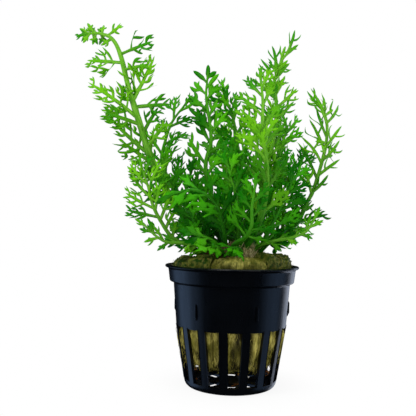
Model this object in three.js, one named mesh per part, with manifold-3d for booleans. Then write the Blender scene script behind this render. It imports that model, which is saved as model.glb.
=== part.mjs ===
// Water sprite, an aquarium fern, growing in a slotted plastic pot packed with rock wool.
// Millimetres, +Z up. The origin is the middle of the pot's underside, and -Y is the front.
// The fronds spring from one crown. Each is one solid: a tapered stem with lobed leaflets fused to it.

import * as THREE from "three";
import { mergeVertices } from "three/addons/utils/BufferGeometryUtils.js";
import Module from "manifold-3d";

const wasm = await Module();
wasm.setup();

// Pot
const potHeight = 48.2;
const rimRadius = 27.5;
const rimThickness = 0.9;
const wall = 1.0;
const collarTopRadius = 26.2;
const collarFootRadius = 25.5;
const collarFootHeight = 41.6;
const shoulderRadius = 23.9;
const shoulderHeight = 41.0;
const slotTopRadius = 22.5;
const slotTopHeight = 24.3;
const slotFootRadius = 18.9;
const slotFootHeight = 3.0;
const footRadius = 17.3;
const floorThickness = 1.4;
const potSides = 32;
const slotCount = 16;
const slotTurn = 4;
const barWidth = 3.1;
const finCount = 6;
const finTurn = 25;
const finHeights = [28.0, 34.2];
const drainCount = 8;
const drainReach = [6.5, 13.0];
const drainWidth = 4.4;

// Rock wool and crown
const woolFoot = 8.0;
const woolTop = 51.5;
const woolClearance = 0.5;
const crownFoot = 9.0;
const crownRadius = 12.8;
const crownShoulder = 50.0;
const crownTop = 56.3;
const crownSides = 14;
const gap = 0.3;

// Stems and leaflets
const stemSides = 4;
const stemTipRadius = 0.35;
const forkSpacing = 11;
const nakedStalk = 0.2;
const lastFork = 0.7;
const mostForks = 3;
const rad = THREE.MathUtils.degToRad;

// Roots that hang free below the wool
const rootRadius = 0.4;
const rootSides = 5;
const rootSteps = 8;
const roots = {
  root_left: [[-13.2, -8.5, 7.3], [-15.6, -7, 6.8], [-16.3, -4.5, 5], [-15, -3.6, 3], [-13, -4.6, 2.3]],
  root_front: [[3, -13.4, 7.3], [4.6, -15, 6.2], [3.4, -15.4, 4.2], [0.5, -14.2, 2.5]],
  root_right: [[13.2, -7.5, 7.3], [15.2, -6, 6.4], [15.6, -2, 4.4], [13.4, 2, 2.6]],
  root_back: [[-4, 13.2, 7.3], [-6, 14.8, 6.2], [-3, 15.6, 4], [1, 14.6, 2.5]],
};

// The finishes, as they look in daylight
const potBlack = new THREE.MeshStandardMaterial({ color: 0x14171f, roughness: 0.38, metalness: 0 });
const woolOlive = new THREE.MeshStandardMaterial({ color: 0x7a7234, roughness: 0.95, metalness: 0 });
const crownBrown = new THREE.MeshStandardMaterial({ color: 0x5a4a20, roughness: 0.9, metalness: 0 });
const rootBrown = new THREE.MeshStandardMaterial({ color: 0x7a4a18, roughness: 0.7, metalness: 0 });
const greens = {
  fresh: new THREE.MeshStandardMaterial({ color: 0x58a823, roughness: 0.5, metalness: 0 }),
  grown: new THREE.MeshStandardMaterial({ color: 0x2f8a14, roughness: 0.5, metalness: 0 }),
  deep: new THREE.MeshStandardMaterial({ color: 0x17650f, roughness: 0.5, metalness: 0 }),
};

// Leaflets set alternately up a stem: how many, between which places on it, and how
// their angle and length change from the lowest to the highest.
function ladder(count, [from, to], [lowAngle, highAngle], [lowLength, highLength]) {
  const rungs = [];
  for (let i = 0; i < count; i += 1) {
    const share = i / (count - 1);
    rungs.push([
      from + (to - from) * share,
      i % 2 ? 1 : -1,
      lowAngle + (highAngle - lowAngle) * share,
      lowLength + (highLength - lowLength) * share,
    ]);
  }
  return rungs;
}

// Each frond: the points its stem runs through, its radius at the crown, the way its blade faces,
// how broad its lobes are, its green, and its leaflets as [place along the stem, side, angle, length].
const fronds = {
  frond_tall_left: {
    stem: [[-4.5, 0, 50], [-13, -3, 61], [-24, -4, 73], [-32, -4, 87], [-36, -5, 97], [-40, -6, 109],
      [-44, -6, 121], [-48, -5, 135], [-52, -4, 142], [-57.5, -3, 144.5], [-62.5, -3, 144.5]],
    radius: 1.8, faces: [-0.2, -1, 0], lobe: 0.5, green: "fresh",
    leaflets: [[0.22, -1, 60, 13], [0.26, 1, 38, 15], [0.32, 1, 36, 17], [0.36, 1, 34, 24],
      [0.39, -1, 60, 14], [0.44, -1, 45, 13], [0.47, 1, 60, 15], [0.49, 1, 32, 27], [0.52, 1, 10, 13],
      [0.53, -1, 105, 15], [0.55, -1, 48, 21], [0.65, -1, 105, 12], [0.67, 1, 65, 19], [0.7, -1, 98, 15],
      [0.84, -1, 135, 8], [0.88, -1, 70, 5], [0.93, 1, 75, 5], [0.95, -1, 60, 6]],
  },
  frond_tall_right: {
    stem: [[4.5, 0, 50], [8, 0, 62], [11, 1, 75], [14, 2, 88], [17, 4, 103], [18, 5, 116], [17, 5, 126],
      [19, 5, 134], [24, 5, 142]],
    radius: 1.15, faces: [0.3, -1, 0], lobe: 0.5, green: "fresh",
    leaflets: [[0.24, -1, 42, 14], [0.3, 1, 42, 14], [0.36, -1, 38, 14], [0.42, 1, 38, 14],
      [0.47, -1, 36, 13], [0.52, 1, 38, 13], [0.56, -1, 36, 13], [0.62, -1, 50, 13], [0.67, 1, 45, 12],
      [0.72, -1, 50, 11], [0.76, 1, 36, 11], [0.8, -1, 30, 10], [0.83, 1, 26, 11], [0.88, 1, 14, 11],
      [0.93, -1, 9, 9]],
  },
  frond_right_front: {
    stem: [[2, -4, 50], [6, -9, 57], [10, -14, 65], [12, -16, 72], [13, -17, 82], [12, -17, 94],
      [11, -16, 103], [11, -15, 113], [10, -14, 123]],
    radius: 1.4, faces: [0.1, -1, 0], lobe: 0.5, green: "fresh",
    leaflets: [[0.3, 1, 48, 12], [0.34, -1, 42, 12], [0.46, -1, 32, 18], [0.5, 1, 60, 24],
      [0.57, 1, 30, 15], [0.64, -1, 38, 15], [0.71, 1, 38, 14], [0.75, -1, 40, 13], [0.8, 1, 42, 13],
      [0.86, -1, 30, 12], [0.9, 1, 38, 11], [0.94, -1, 28, 9]],
  },
  frond_arch_right: {
    stem: [[9, 0, 51], [14, -2, 57], [20, -4, 61.5], [26, -6, 66], [29, -7, 73], [32, -7, 79], [35, -7, 89],
      [37, -7, 98], [37.5, -6, 106], [36, -6, 112], [33.5, -6, 117]],
    radius: 1.05, faces: [0.3, -1, 0.1], lobe: 0.45, green: "fresh",
    leaflets: [[0.2, 1, 45, 13], [0.29, 1, 42, 12], [0.31, -1, 40, 12], [0.37, -1, 55, 6],
      [0.48, 1, 40, 12], [0.55, 1, 38, 14], [0.61, 1, 36, 14], [0.64, -1, 72, 8], [0.67, 1, 34, 14],
      [0.69, -1, 92, 8], [0.73, 1, 34, 14], [0.79, 1, 32, 16], [0.81, -1, 54, 13], [0.88, -1, 40, 8],
      [0.88, 1, 30, 11], [0.93, 1, 26, 9]],
  },
  frond_middle: {
    stem: [[0, 0, 50], [-4, 2, 60], [-9, 5, 76], [-12, 6, 90], [-10, 8, 101], [-11, 8, 111],
      [-12.5, 8, 121], [-12, 8, 130]],
    radius: 1.15, faces: [-0.1, -1, 0], lobe: 0.6, green: "grown",
    leaflets: [[0.16, 1, 48, 11], [0.24, -1, 45, 12], [0.31, 1, 45, 13], [0.38, -1, 42, 13],
      [0.44, 1, 45, 14], [0.5, -1, 40, 13], [0.56, 1, 42, 14], [0.62, -1, 38, 13], [0.67, 1, 40, 13],
      [0.73, -1, 38, 10], [0.77, 1, 45, 12], [0.83, -1, 42, 9], [0.87, 1, 50, 11], [0.91, -1, 48, 8],
      [0.95, 1, 48, 8]],
  },
  frond_left: {
    stem: [[-9, 0, 50], [-16, -4, 55], [-24, -7, 59], [-29, -9, 66], [-32, -10, 72], [-34, -10, 79],
      [-37, -9, 87]],
    radius: 1.0, faces: [-0.3, -1, 0.1], lobe: 0.5, green: "fresh",
    leaflets: [[0.5, -1, 52, 12], [0.53, 1, 48, 13], [0.6, -1, 44, 13], [0.63, 1, 44, 13],
      [0.7, -1, 42, 13], [0.74, 1, 40, 13], [0.81, -1, 38, 12], [0.86, 1, 34, 11], [0.93, -1, 30, 9]],
  },
  frond_low_left: {
    stem: [[-7, -4, 50], [-11, -8, 55], [-19, -12, 57], [-25, -14, 57.2], [-29.5, -15, 59.5],
      [-33.5, -15, 63]],
    radius: 0.85, faces: [-0.2, -0.8, 0.6], lobe: 0.45, green: "fresh",
    leaflets: [[0.34, 1, 60, 5], [0.5, -1, 42, 7], [0.6, 1, 50, 6], [0.68, -1, 40, 8],
      [0.76, 1, 45, 6], [0.84, -1, 38, 7], [0.9, 1, 30, 5]],
  },
  frond_low_right: {
    stem: [[6.5, -4, 50], [10, -8, 56], [16, -11, 58.5], [23, -12.5, 60], [28.5, -13, 62.5], [31.5, -13, 67]],
    radius: 0.85, faces: [0.2, -0.8, 0.6], lobe: 0.45, green: "fresh",
    leaflets: [[0.36, -1, 45, 6], [0.46, 1, 40, 6], [0.54, -1, 45, 5], [0.64, 1, 42, 6],
      [0.72, -1, 40, 5], [0.8, 1, 40, 7], [0.88, -1, 35, 6]],
  },
  frond_front_left: {
    stem: [[-2.5, -4, 50], [-3, -10, 60], [-5, -15, 69], [-9, -19, 75], [-16, -21, 77.5], [-24, -22, 75]],
    radius: 1.0, faces: [0, -0.9, 0.45], lobe: 0.6, green: "deep",
    leaflets: ladder(9, [0.2, 0.9], [48, 30], [14, 9]),
  },
  frond_front_arch: {
    stem: [[0, -8, 50], [0.5, -14, 56.5], [5, -20, 60], [7, -24, 64], [7, -26, 71], [8, -26, 78]],
    radius: 1.0, faces: [0, -1, 0.2], lobe: 0.5, green: "grown",
    leaflets: [[0.42, 1, 85, 12], [0.48, 1, 110, 8], [0.55, -1, 55, 9], [0.64, 1, 50, 10], [0.7, -1, 50, 10],
      [0.78, 1, 45, 9], [0.85, -1, 42, 9], [0.91, 1, 40, 8]],
  },
  frond_broad_left: {
    stem: [[-5, -8, 50], [-5, -14, 55.5], [-7, -18, 58], [-10, -20.5, 59.5], [-13.5, -22, 60.5]],
    radius: 0.85, faces: [-0.1, -0.75, 0.65], lobe: 0.9, green: "grown",
    leaflets: [[0.6, -1, 48, 7], [0.7, 1, 42, 7], [0.82, -1, 40, 7]],
  },
  frond_broad_front: {
    stem: [[-2.5, -11, 50], [-3.5, -15.5, 54], [-5.5, -19.5, 56], [-8, -22.5, 56]],
    radius: 0.8, faces: [0, -0.6, 0.8], lobe: 0.9, green: "grown",
    leaflets: [[0.55, -1, 48, 8], [0.66, 1, 48, 7]],
  },
  frond_young_front: {
    stem: [[4, -8, 50], [3.5, -13, 54.5], [1, -17.5, 55.8], [-3, -20.5, 55]],
    radius: 0.8, faces: [0.2, -0.6, 0.8], lobe: 0.8, green: "deep",
    leaflets: [[0.5, -1, 50, 7], [0.6, 1, 50, 8], [0.78, -1, 45, 6]],
  },
  frond_mid_left: {
    stem: [[-2.5, 4, 50], [-5, 5, 58], [-9.5, 4, 66], [-13.5, 3, 74], [-17, 2, 81], [-19, 1, 86]],
    radius: 1.0, faces: [-0.2, -1, 0.2], lobe: 0.65, green: "deep",
    leaflets: ladder(9, [0.16, 0.92], [44, 28], [13, 8]),
  },
  frond_back_left: {
    stem: [[-7, 4, 50], [-16, 8, 66], [-26, 12, 80], [-32, 14, 92], [-31, 15, 102], [-28, 15, 111],
      [-22, 14, 119]],
    radius: 1.15, faces: [-0.2, -1, 0], lobe: 0.5, green: "grown",
    leaflets: ladder(11, [0.2, 0.93], [46, 32], [17, 10]),
  },
  frond_centre_back: {
    stem: [[2, 4, 50], [1, 8, 62], [1, 11, 76], [2, 12, 91], [1, 14, 105], [-2, 14, 117], [-6, 13, 123]],
    radius: 1.15, faces: [0.1, -1, 0.1], lobe: 0.55, green: "grown",
    leaflets: ladder(13, [0.13, 0.94], [46, 32], [16, 9]),
  },
  frond_right_middle: {
    stem: [[6.5, 4, 50], [10, 7, 63], [14, 9, 76], [17.5, 10, 88], [20, 10, 97], [22, 9, 104],
      [23.5, 9, 109]],
    radius: 1.1, faces: [0.2, -1, 0.1], lobe: 0.5, green: "grown",
    leaflets: ladder(12, [0.14, 0.93], [44, 28], [15, 9]),
  },
  frond_back_right: {
    stem: [[4.5, 8, 50], [12, 13, 61], [20.5, 18, 73], [27.5, 21, 85], [32, 22, 97]],
    radius: 1.1, faces: [0.55, -0.8, 0.1], lobe: 0.5, green: "deep",
    leaflets: ladder(9, [0.2, 0.92], [46, 32], [17, 9]),
  },
  frond_back: {
    stem: [[0, 8, 50], [-1, 15, 64], [-2, 23, 79], [-3, 30, 94], [-4, 36, 106], [-5, 42, 112]],
    radius: 1.2, faces: [0.05, 0.8, 0.6], lobe: 0.5, green: "fresh",
    leaflets: ladder(9, [0.24, 0.93], [46, 32], [18, 10]),
  },
  frond_back_low_left: {
    stem: [[-4.5, 8, 50], [-10, 14, 58], [-18, 21, 66], [-26, 27, 75], [-32, 32, 80]],
    radius: 1.0, faces: [-0.5, 0.5, 0.8], lobe: 0.5, green: "grown",
    leaflets: ladder(7, [0.26, 0.9], [46, 32], [16, 9]),
  },
  frond_back_low_right: {
    stem: [[9, 4, 51], [14, 9, 58], [21, 16, 63], [27, 23, 66], [31, 29, 68]],
    radius: 1.0, faces: [0.5, 0.4, 0.8], lobe: 0.5, green: "grown",
    leaflets: ladder(7, [0.26, 0.9], [46, 32], [15, 9]),
  },
  frond_right_low: {
    stem: [[9.5, -4.5, 50], [13, -8, 59], [17, -10.5, 68], [21, -12, 77], [24, -12.5, 85]],
    radius: 0.95, faces: [0.2, -1, 0.1], lobe: 0.55, green: "deep",
    leaflets: ladder(9, [0.2, 0.93], [46, 30], [14, 9]),
  },
  frond_left_inner: {
    stem: [[-10, -3.5, 50], [-12.5, -6, 57], [-15, -8.5, 64.5], [-17.5, -10, 72], [-19.5, -11, 78]],
    radius: 0.95, faces: [-0.2, -1, 0.1], lobe: 0.6, green: "deep",
    leaflets: ladder(7, [0.2, 0.93], [44, 28], [12, 8]),
  },
  frond_centre_front: {
    stem: [[2.6, -8.2, 50], [2.5, -10, 60], [2, -12.5, 69], [0.5, -14.5, 78], [-2, -15.5, 87]],
    radius: 0.95, faces: [0, -1, 0.15], lobe: 0.6, green: "grown",
    leaflets: ladder(9, [0.16, 0.93], [46, 30], [13, 9]),
  },
};

// Where a leaflet would run into a neighbour, it turns about its stem or stays shorter:
// these are the turns in degrees and the shares of its length, in the order they are tried.
const ways = [[0, 1], [25, 1], [-25, 1], [50, 1], [-50, 1], [0, 0.75], [35, 0.75], [-35, 0.75],
  [70, 0.75], [-70, 0.75], [0, 0.55], [45, 0.55], [-45, 0.55], [90, 0.55], [-90, 0.55]];

// A number from 0 to 1 that looks random and is always the same for the same seed.
function uneven(seed) {
  const wave = Math.sin(seed * 12.9898) * 43758.5453;
  return wave - Math.floor(wave);
}

// A closed solid from a three.js geometry.
function solidOf(geometry) {
  geometry.deleteAttribute("normal");
  geometry.deleteAttribute("uv");
  const merged = mergeVertices(geometry, 1e-4);
  return new wasm.Manifold(
    new wasm.Mesh({
      numProp: 3,
      vertProperties: merged.attributes.position.array,
      triVerts: new Uint32Array(merged.index.array),
    }),
  );
}

// A closed solid from its corner points and triangles.
function solid(points, triangles) {
  const geometry = new THREE.BufferGeometry();
  geometry.setAttribute("position", new THREE.Float32BufferAttribute(points.flat(), 3));
  geometry.setIndex(triangles.flat());
  return solidOf(geometry);
}

// A closed solid through rings of points, each ring with as many points as the next.
function loft(rings) {
  const n = rings[0].length;
  const triangles = [];
  for (let r = 0; r + 1 < rings.length; r += 1) {
    for (let i = 0; i < n; i += 1) {
      const a = r * n + i;
      const b = r * n + ((i + 1) % n);
      triangles.push([a, b, b + n], [a, b + n, a + n]);
    }
  }
  const last = (rings.length - 1) * n;
  for (let i = 1; i + 1 < n; i += 1) {
    triangles.push([0, i + 1, i], [last, last + i, last + i + 1]);
  }
  return solid(rings.flat(), triangles);
}

function meshOf(name, manifold, material) {
  const { vertProperties, triVerts } = manifold.getMesh();
  const geometry = new THREE.BufferGeometry();
  geometry.setAttribute("position", new THREE.BufferAttribute(vertProperties, 3));
  geometry.setIndex(new THREE.BufferAttribute(triVerts, 1));
  geometry.computeVertexNormals();
  const mesh = new THREE.Mesh(geometry, material);
  mesh.name = name;
  return mesh;
}

// A bar of rectangular section about the Z axis, turned to an angle.
function radialBox([nearX, farX], width, [low, high], turn) {
  const box = new THREE.BoxGeometry(farX - nearX, width, high - low);
  box.translate((nearX + farX) / 2, 0, (low + high) / 2);
  box.rotateZ(rad(turn));
  return solidOf(box);
}

// The slot between two bars is as wide as the bars leave it, so it narrows to the foot as the wall does.
function slotSolid(turn) {
  const halfPitch = Math.PI / slotCount;
  const ringAt = (height, radius) => {
    const half = radius * Math.sin(halfPitch) - barWidth / 2;
    const near = radius - 4 * wall;
    const far = radius + 3 * wall;
    return [[near, -half, height], [far, -half, height], [far, half, height], [near, half, height]];
  };
  const foot = ringAt(slotFootHeight, slotFootRadius);
  return loft([foot, ringAt(slotTopHeight, slotTopRadius)]).rotate([0, 0, turn]);
}

function potSolid() {
  const outside = [[0, 0], [footRadius, 0], [slotFootRadius, slotFootHeight], [slotTopRadius, slotTopHeight],
    [shoulderRadius, shoulderHeight], [collarFootRadius, collarFootHeight],
    [collarTopRadius, potHeight - rimThickness], [rimRadius, potHeight - rimThickness],
    [rimRadius, potHeight]];
  const inside = [[collarTopRadius - wall, potHeight], [shoulderRadius - wall, shoulderHeight],
    [slotTopRadius - wall, slotTopHeight], [footRadius - 0.1, floorThickness], [0, floorThickness]];
  const profile = [...outside, ...inside].map(([x, y]) => new THREE.Vector2(x, y));
  const turned = new THREE.LatheGeometry(profile, potSides);
  turned.rotateX(Math.PI / 2).rotateZ(rad(slotTurn));
  let pot = solidOf(turned);
  const cuts = [];
  for (let i = 0; i < slotCount; i += 1) {
    cuts.push(slotSolid(-90 + slotTurn + (360 / slotCount) * i));
  }
  for (let i = 0; i < drainCount; i += 1) {
    cuts.push(radialBox(drainReach, drainWidth, [-1, floorThickness + 1], (360 / drainCount) * i));
  }
  pot = pot.subtract(wasm.Manifold.union(cuts));
  const fins = [];
  for (let i = 0; i < finCount; i += 1) {
    const radius = slotTopRadius + 0.3;
    fins.push(radialBox([radius - 0.6, radius + 1.0], 0.9, finHeights, -90 + finTurn + (360 / finCount) * i));
  }
  return pot.add(wasm.Manifold.union(fins));
}

// The pot's inside radius at a height, as far down as its floor.
function potInside(height) {
  const steps = [[floorThickness, footRadius - 0.1], [slotTopHeight, slotTopRadius - wall],
    [shoulderHeight, shoulderRadius - wall], [potHeight, collarTopRadius - wall]];
  const i = Math.max(1, steps.findIndex(([z]) => z >= Math.min(height, potHeight)));
  const [[z0, r0], [z1, r1]] = [steps[i - 1], steps[i]];
  return r0 + ((r1 - r0) * (Math.min(height, potHeight) - z0)) / (z1 - z0);
}

// The crown's outside radius at a height, down to the foot of its root ball.
function crownOutside(height) {
  const share = (height - crownFoot) / (crownShoulder - crownFoot);
  return 8.2 + (crownRadius - 8.2) * Math.min(1, Math.max(0, share)) ** 0.7;
}

// A wad of rock wool pressed in between the root ball and the pot, from one angle to another.
function wadSolid([from, to], top, lean, seed) {
  const slices = Math.round((to - from) / 20);
  const rings = [];
  for (let i = 0; i <= slices; i += 1) {
    const share = i / slices;
    const edge = Math.min(1, 6 * Math.min(share, 1 - share) + 0.35);
    const angle = rad(from + (to - from) * share);
    const high = top + lean * (share - 0.5) + 1.4 * (uneven(seed + i) - 0.5);
    const swell = 0.8 * uneven(seed + 20 + i);
    const outside = (z) => potInside(z) - woolClearance;
    const inside = (z) => crownOutside(z) + 2 * woolClearance;
    const section = [
      [inside(woolFoot) + 0.6, woolFoot],
      [outside(woolFoot) - 0.6, woolFoot + 0.4 * swell],
      [outside(slotTopHeight) - 0.8 * swell, slotTopHeight],
      [outside(shoulderHeight) - 0.5 * swell, shoulderHeight],
      [outside(potHeight) - swell, high - 3 + edge],
      [outside(potHeight) - 3.2, high],
      [inside(crownShoulder) + 1.5, high - 0.3 * edge],
      [inside(crownShoulder), high - 2.5 + edge],
    ];
    rings.push(section.map(([r, z]) => [r * Math.cos(angle), r * Math.sin(angle), z]));
  }
  return loft(rings.reverse());
}

// The crown and its root ball, grown by an allowance.
function crownSolid(allowance) {
  const profile = [[0, crownFoot], [crownOutside(crownFoot), crownFoot], [crownOutside(22), 22],
    [crownRadius, crownShoulder - 1], [crownRadius - 0.8, crownShoulder + 3.2],
    [crownRadius - 4.5, crownTop - 1.2], [0, crownTop]];
  const points = profile.map(([x, y]) => new THREE.Vector2(x && x + allowance, y + allowance));
  const turned = new THREE.LatheGeometry(points, crownSides);
  turned.rotateX(Math.PI / 2);
  return solidOf(turned);
}

// The stem's own frame at a place along it: where it is, the way it runs, and the blade's face and left.
function stemFrame(frond, curve, along) {
  const stretches = frond.stem.length - 1;
  const stretch = Math.min(stretches - 1, Math.floor(along * stretches));
  const from = curve.points[stretch].clone();
  const at = from.lerp(curve.points[stretch + 1], along * stretches - stretch);
  const ahead = curve.getPoint(Math.min(1, along + 0.01));
  const runs = ahead.sub(curve.getPoint(Math.max(0, along - 0.01))).normalize();
  const faces = new THREE.Vector3(...frond.faces);
  faces.addScaledVector(runs, -faces.dot(runs)).normalize();
  const left = new THREE.Vector3().crossVectors(faces, runs);
  return { at, runs, faces, left };
}

function stemRadius(frond, along) {
  return stemTipRadius + (frond.radius - stemTipRadius) * (1 - along) ** 0.8;
}

// A stem, straight between each two of its points, which leaves the crown where its surface is.
function stemSolid(frond, curve) {
  const stretches = frond.stem.length - 1;
  const rings = [];
  for (let i = 0; i <= stretches; i += 1) {
    const along = i / stretches;
    const { at, faces, left } = stemFrame(frond, curve, along);
    const radius = stemRadius(frond, along);
    const ring = [];
    for (let k = 0; k < stemSides; k += 1) {
      const turn = (2 * Math.PI * k) / stemSides;
      const p = at.clone().addScaledVector(faces, radius * Math.cos(turn));
      ring.push(p.addScaledVector(left, -radius * Math.sin(turn)).toArray());
    }
    rings.push(ring);
  }
  return loft(rings).subtract(crownSolid(gap));
}

// A leaflet laid flat: where its side lobes fork off, how far they reach and at what angle, and how it bends.
function leafletPlan(length, lobe, seed) {
  const forks = THREE.MathUtils.clamp(Math.round(length / forkSpacing), 1, mostForks);
  const lobes = [];
  for (let j = 0; j < forks; j += 1) {
    const share = forks > 1 ? j / (forks - 1) : 0.3;
    const at = length * (nakedStalk + (lastFork - nakedStalk) * share);
    const sides = [1, -1].map((side) => {
      const noise = uneven(seed + 3 * j + (side > 0 ? 0.5 : 0));
      const reach = length * 0.52 * (1 - 0.55 * share) * (0.8 + 0.4 * noise);
      const angle = rad(36 - 9 * share + 12 * (noise - 0.5));
      return { side, reach, angle };
    });
    lobes.push({ at, sides });
  }
  return {
    length,
    lobes,
    web: lobe,
    droop: 0.1 + 0.25 * uneven(seed + 0.1),
    cup: 0.5 * (uneven(seed + 0.2) - 0.4),
    sweep: 0.35 * (uneven(seed + 0.3) - 0.5),
  };
}

// Moves a point of the flat leaflet to where it is on the stem, bent and swept.
function leafletPlace(plan, frame, side, angle, turn) {
  const across = frame.left.clone().multiplyScalar(side * Math.cos(turn));
  across.addScaledVector(frame.faces, Math.sin(turn));
  const runs = frame.runs.clone().multiplyScalar(Math.cos(angle)).addScaledVector(across, Math.sin(angle));
  const faces = frame.faces.clone().addScaledVector(runs, -frame.faces.dot(runs)).normalize();
  const left = new THREE.Vector3().crossVectors(faces, runs);
  return ([x, y, z]) => {
    const bend = (plan.cup * y * y - plan.droop * x * x) / plan.length;
    const sway = (plan.sweep * side * x * x) / plan.length;
    return frame.at.clone().addScaledVector(runs, x).addScaledVector(left, y - sway)
      .addScaledVector(faces, z + bend).toArray();
  };
}

// One leaflet: flat below, with a ridge along its midrib, and a pair of pointed side lobes at each fork.
function leafletSolid(plan, foot, place) {
  const { length, lobes, web } = plan;
  const ridgeHeight = 0.55 + 0.022 * length;
  const points = [[0, 0, 0.6 * foot], [0, 0.5 * foot, -0.3 * foot], [0, -0.5 * foot, -0.3 * foot]];
  const triangles = [[1, 2, 0]];
  let [ridge, leftEdge, rightEdge] = [0, 1, 2];
  lobes.forEach(({ at, sides }) => {
    const share = 1 - 0.5 * (at / length);
    const [middle, leftIn, leftTip, leftOut, rightIn, rightTip, rightOut] = [0, 1, 2, 3, 4, 5, 6]
      .map((k) => points.length + k);
    points.push([at, 0, ridgeHeight * share]);
    sides.forEach(({ side, reach, angle }) => {
      points.push([at - 2.2 * web, side * web * share, 0]);
      points.push([at + reach * Math.cos(angle), side * reach * Math.sin(angle), 0]);
      points.push([at + 2.8 * web, side * web * share, 0]);
    });
    triangles.push(
      [ridge, middle, leftIn], [ridge, leftIn, leftEdge], [middle, leftTip, leftIn],
      [middle, leftOut, leftTip],
      [middle, ridge, rightIn], [ridge, rightEdge, rightIn], [middle, rightIn, rightTip],
      [middle, rightTip, rightOut], [leftEdge, leftIn, rightIn], [leftEdge, rightIn, rightEdge],
      [leftIn, leftTip, leftOut],
      [leftIn, leftOut, rightOut], [leftIn, rightOut, rightIn], [rightTip, rightIn, rightOut],
    );
    [ridge, leftEdge, rightEdge] = [middle, leftOut, rightOut];
  });
  const tip = points.length;
  points.push([length, 0, 0]);
  triangles.push([ridge, tip, leftEdge], [tip, ridge, rightEdge], [leftEdge, tip, rightEdge]);
  return solid(points.map(place), triangles);
}

function boxesMeet(a, b) {
  return [0, 1, 2].every((k) => a.min[k] < b.max[k] + gap && b.min[k] < a.max[k] + gap);
}

function staysClear(made, obstacles) {
  const box = made.boundingBox();
  return obstacles.filter((o) => boxesMeet(o.box, box)).every((o) => made.minGap(o.solid, gap) >= gap);
}

// Fits a leaflet in the first of the ways that keeps it clear of the other pieces, and its blade
// clear of the blades on its own stem, if there is one.
function fitLeaflet(frond, curve, [along, side, angle, length], seed, obstacles, blades) {
  const frame = stemFrame(frond, curve, along);
  for (const [turn, share] of ways) {
    const plan = leafletPlan(length * share, frond.lobe, seed);
    const lean = rad(turn + 50 * (uneven(seed + 0.4) - 0.5));
    const place = leafletPlace(plan, frame, side, rad(angle), lean);
    const leaflet = leafletSolid(plan, stemRadius(frond, along), place);
    const stalkEnd = new THREE.Vector3(...place([plan.length * nakedStalk, 0, 0]));
    const runs = stalkEnd.clone().sub(frame.at).normalize();
    const blade = leaflet.trimByPlane(runs.toArray(), runs.dot(stalkEnd));
    if (staysClear(leaflet, obstacles) && staysClear(blade, blades)) {
      blades.push(obstacle("blade", blade));
      return leaflet;
    }
  }
  return null;
}

// A root that has grown out of the wool, into the space above the pot's floor.
function rootSolid(points) {
  const circle = new THREE.EllipseCurve(0, 0, rootRadius, rootRadius);
  const section = new THREE.Shape(circle.getPoints(rootSides).slice(1));
  const path = new THREE.CatmullRomCurve3(points.map((p) => new THREE.Vector3(...p)));
  return new THREE.ExtrudeGeometry(section, { steps: rootSteps, extrudePath: path, bevelEnabled: false });
}

const plant = new THREE.Group();
const others = [];
const obstacle = (of, made) => ({ of, solid: made, box: made.boundingBox() });

const pot = potSolid();
plant.add(meshOf("net_pot", pot, potBlack));
others.push(obstacle("net_pot", pot));

const wads = {
  rock_wool_left: [[112, 248], woolTop + 0.2, 1.2, 3],
  rock_wool_middle: [[251, 304], woolTop + 0.6, 0.4, 43],
  rock_wool_right: [[307, 469], woolTop + 1.4, -2.4, 83],
};

// All the stems come first, so that leaflets keep clear of them.
const grown = Object.entries(fronds).map(([name, frond]) => {
  const stations = frond.stem.map((p) => new THREE.Vector3(...p));
  const curve = new THREE.CatmullRomCurve3(stations, false, "catmullrom", 0.5);
  const stem = stemSolid(frond, curve);
  others.push(obstacle(name, stem));
  return { name, frond, curve, pieces: [stem] };
});

for (const [name, [span, top, lean, seed]] of Object.entries(wads)) {
  const wad = wadSolid(span, top, lean, seed);
  plant.add(meshOf(name, wad, woolOlive));
  others.push(obstacle(name, wad));
}
const crown = crownSolid(0);
plant.add(meshOf("crown", crown, crownBrown));
others.push(obstacle("crown", crown));

grown.forEach(({ name, frond, curve, pieces }, number) => {
  const blades = [];
  const tipLeaflet = [0.97, 1, 0, 6 + 2 * frond.lobe];
  [...frond.leaflets, tipLeaflet].forEach((leaflet, i) => {
    const seed = 100 * number + 5 * i;
    const made = fitLeaflet(frond, curve, leaflet, seed, others.filter((o) => o.of !== name), blades);
    if (made) {
      pieces.push(made);
      others.push(obstacle(name, made));
    }
  });
  plant.add(meshOf(name, wasm.Manifold.union(pieces), greens[frond.green]));
});
for (const [name, points] of Object.entries(roots)) {
  plant.add(meshOf(name, solidOf(rootSolid(points)), rootBrown));
}

export default plant;
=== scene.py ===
# Water sprite, an aquarium fern with finely divided fronds, grown in rock wool in a slotted net pot.
# The pot stands on its flat foot and -Y is its front, as in the frame. Lengths below are in
# millimetres, and mesh_object() turns them into the frame's metres.
import math

import bpy
import numpy as np
from mathutils import Matrix, Vector, geometry, noise


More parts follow.
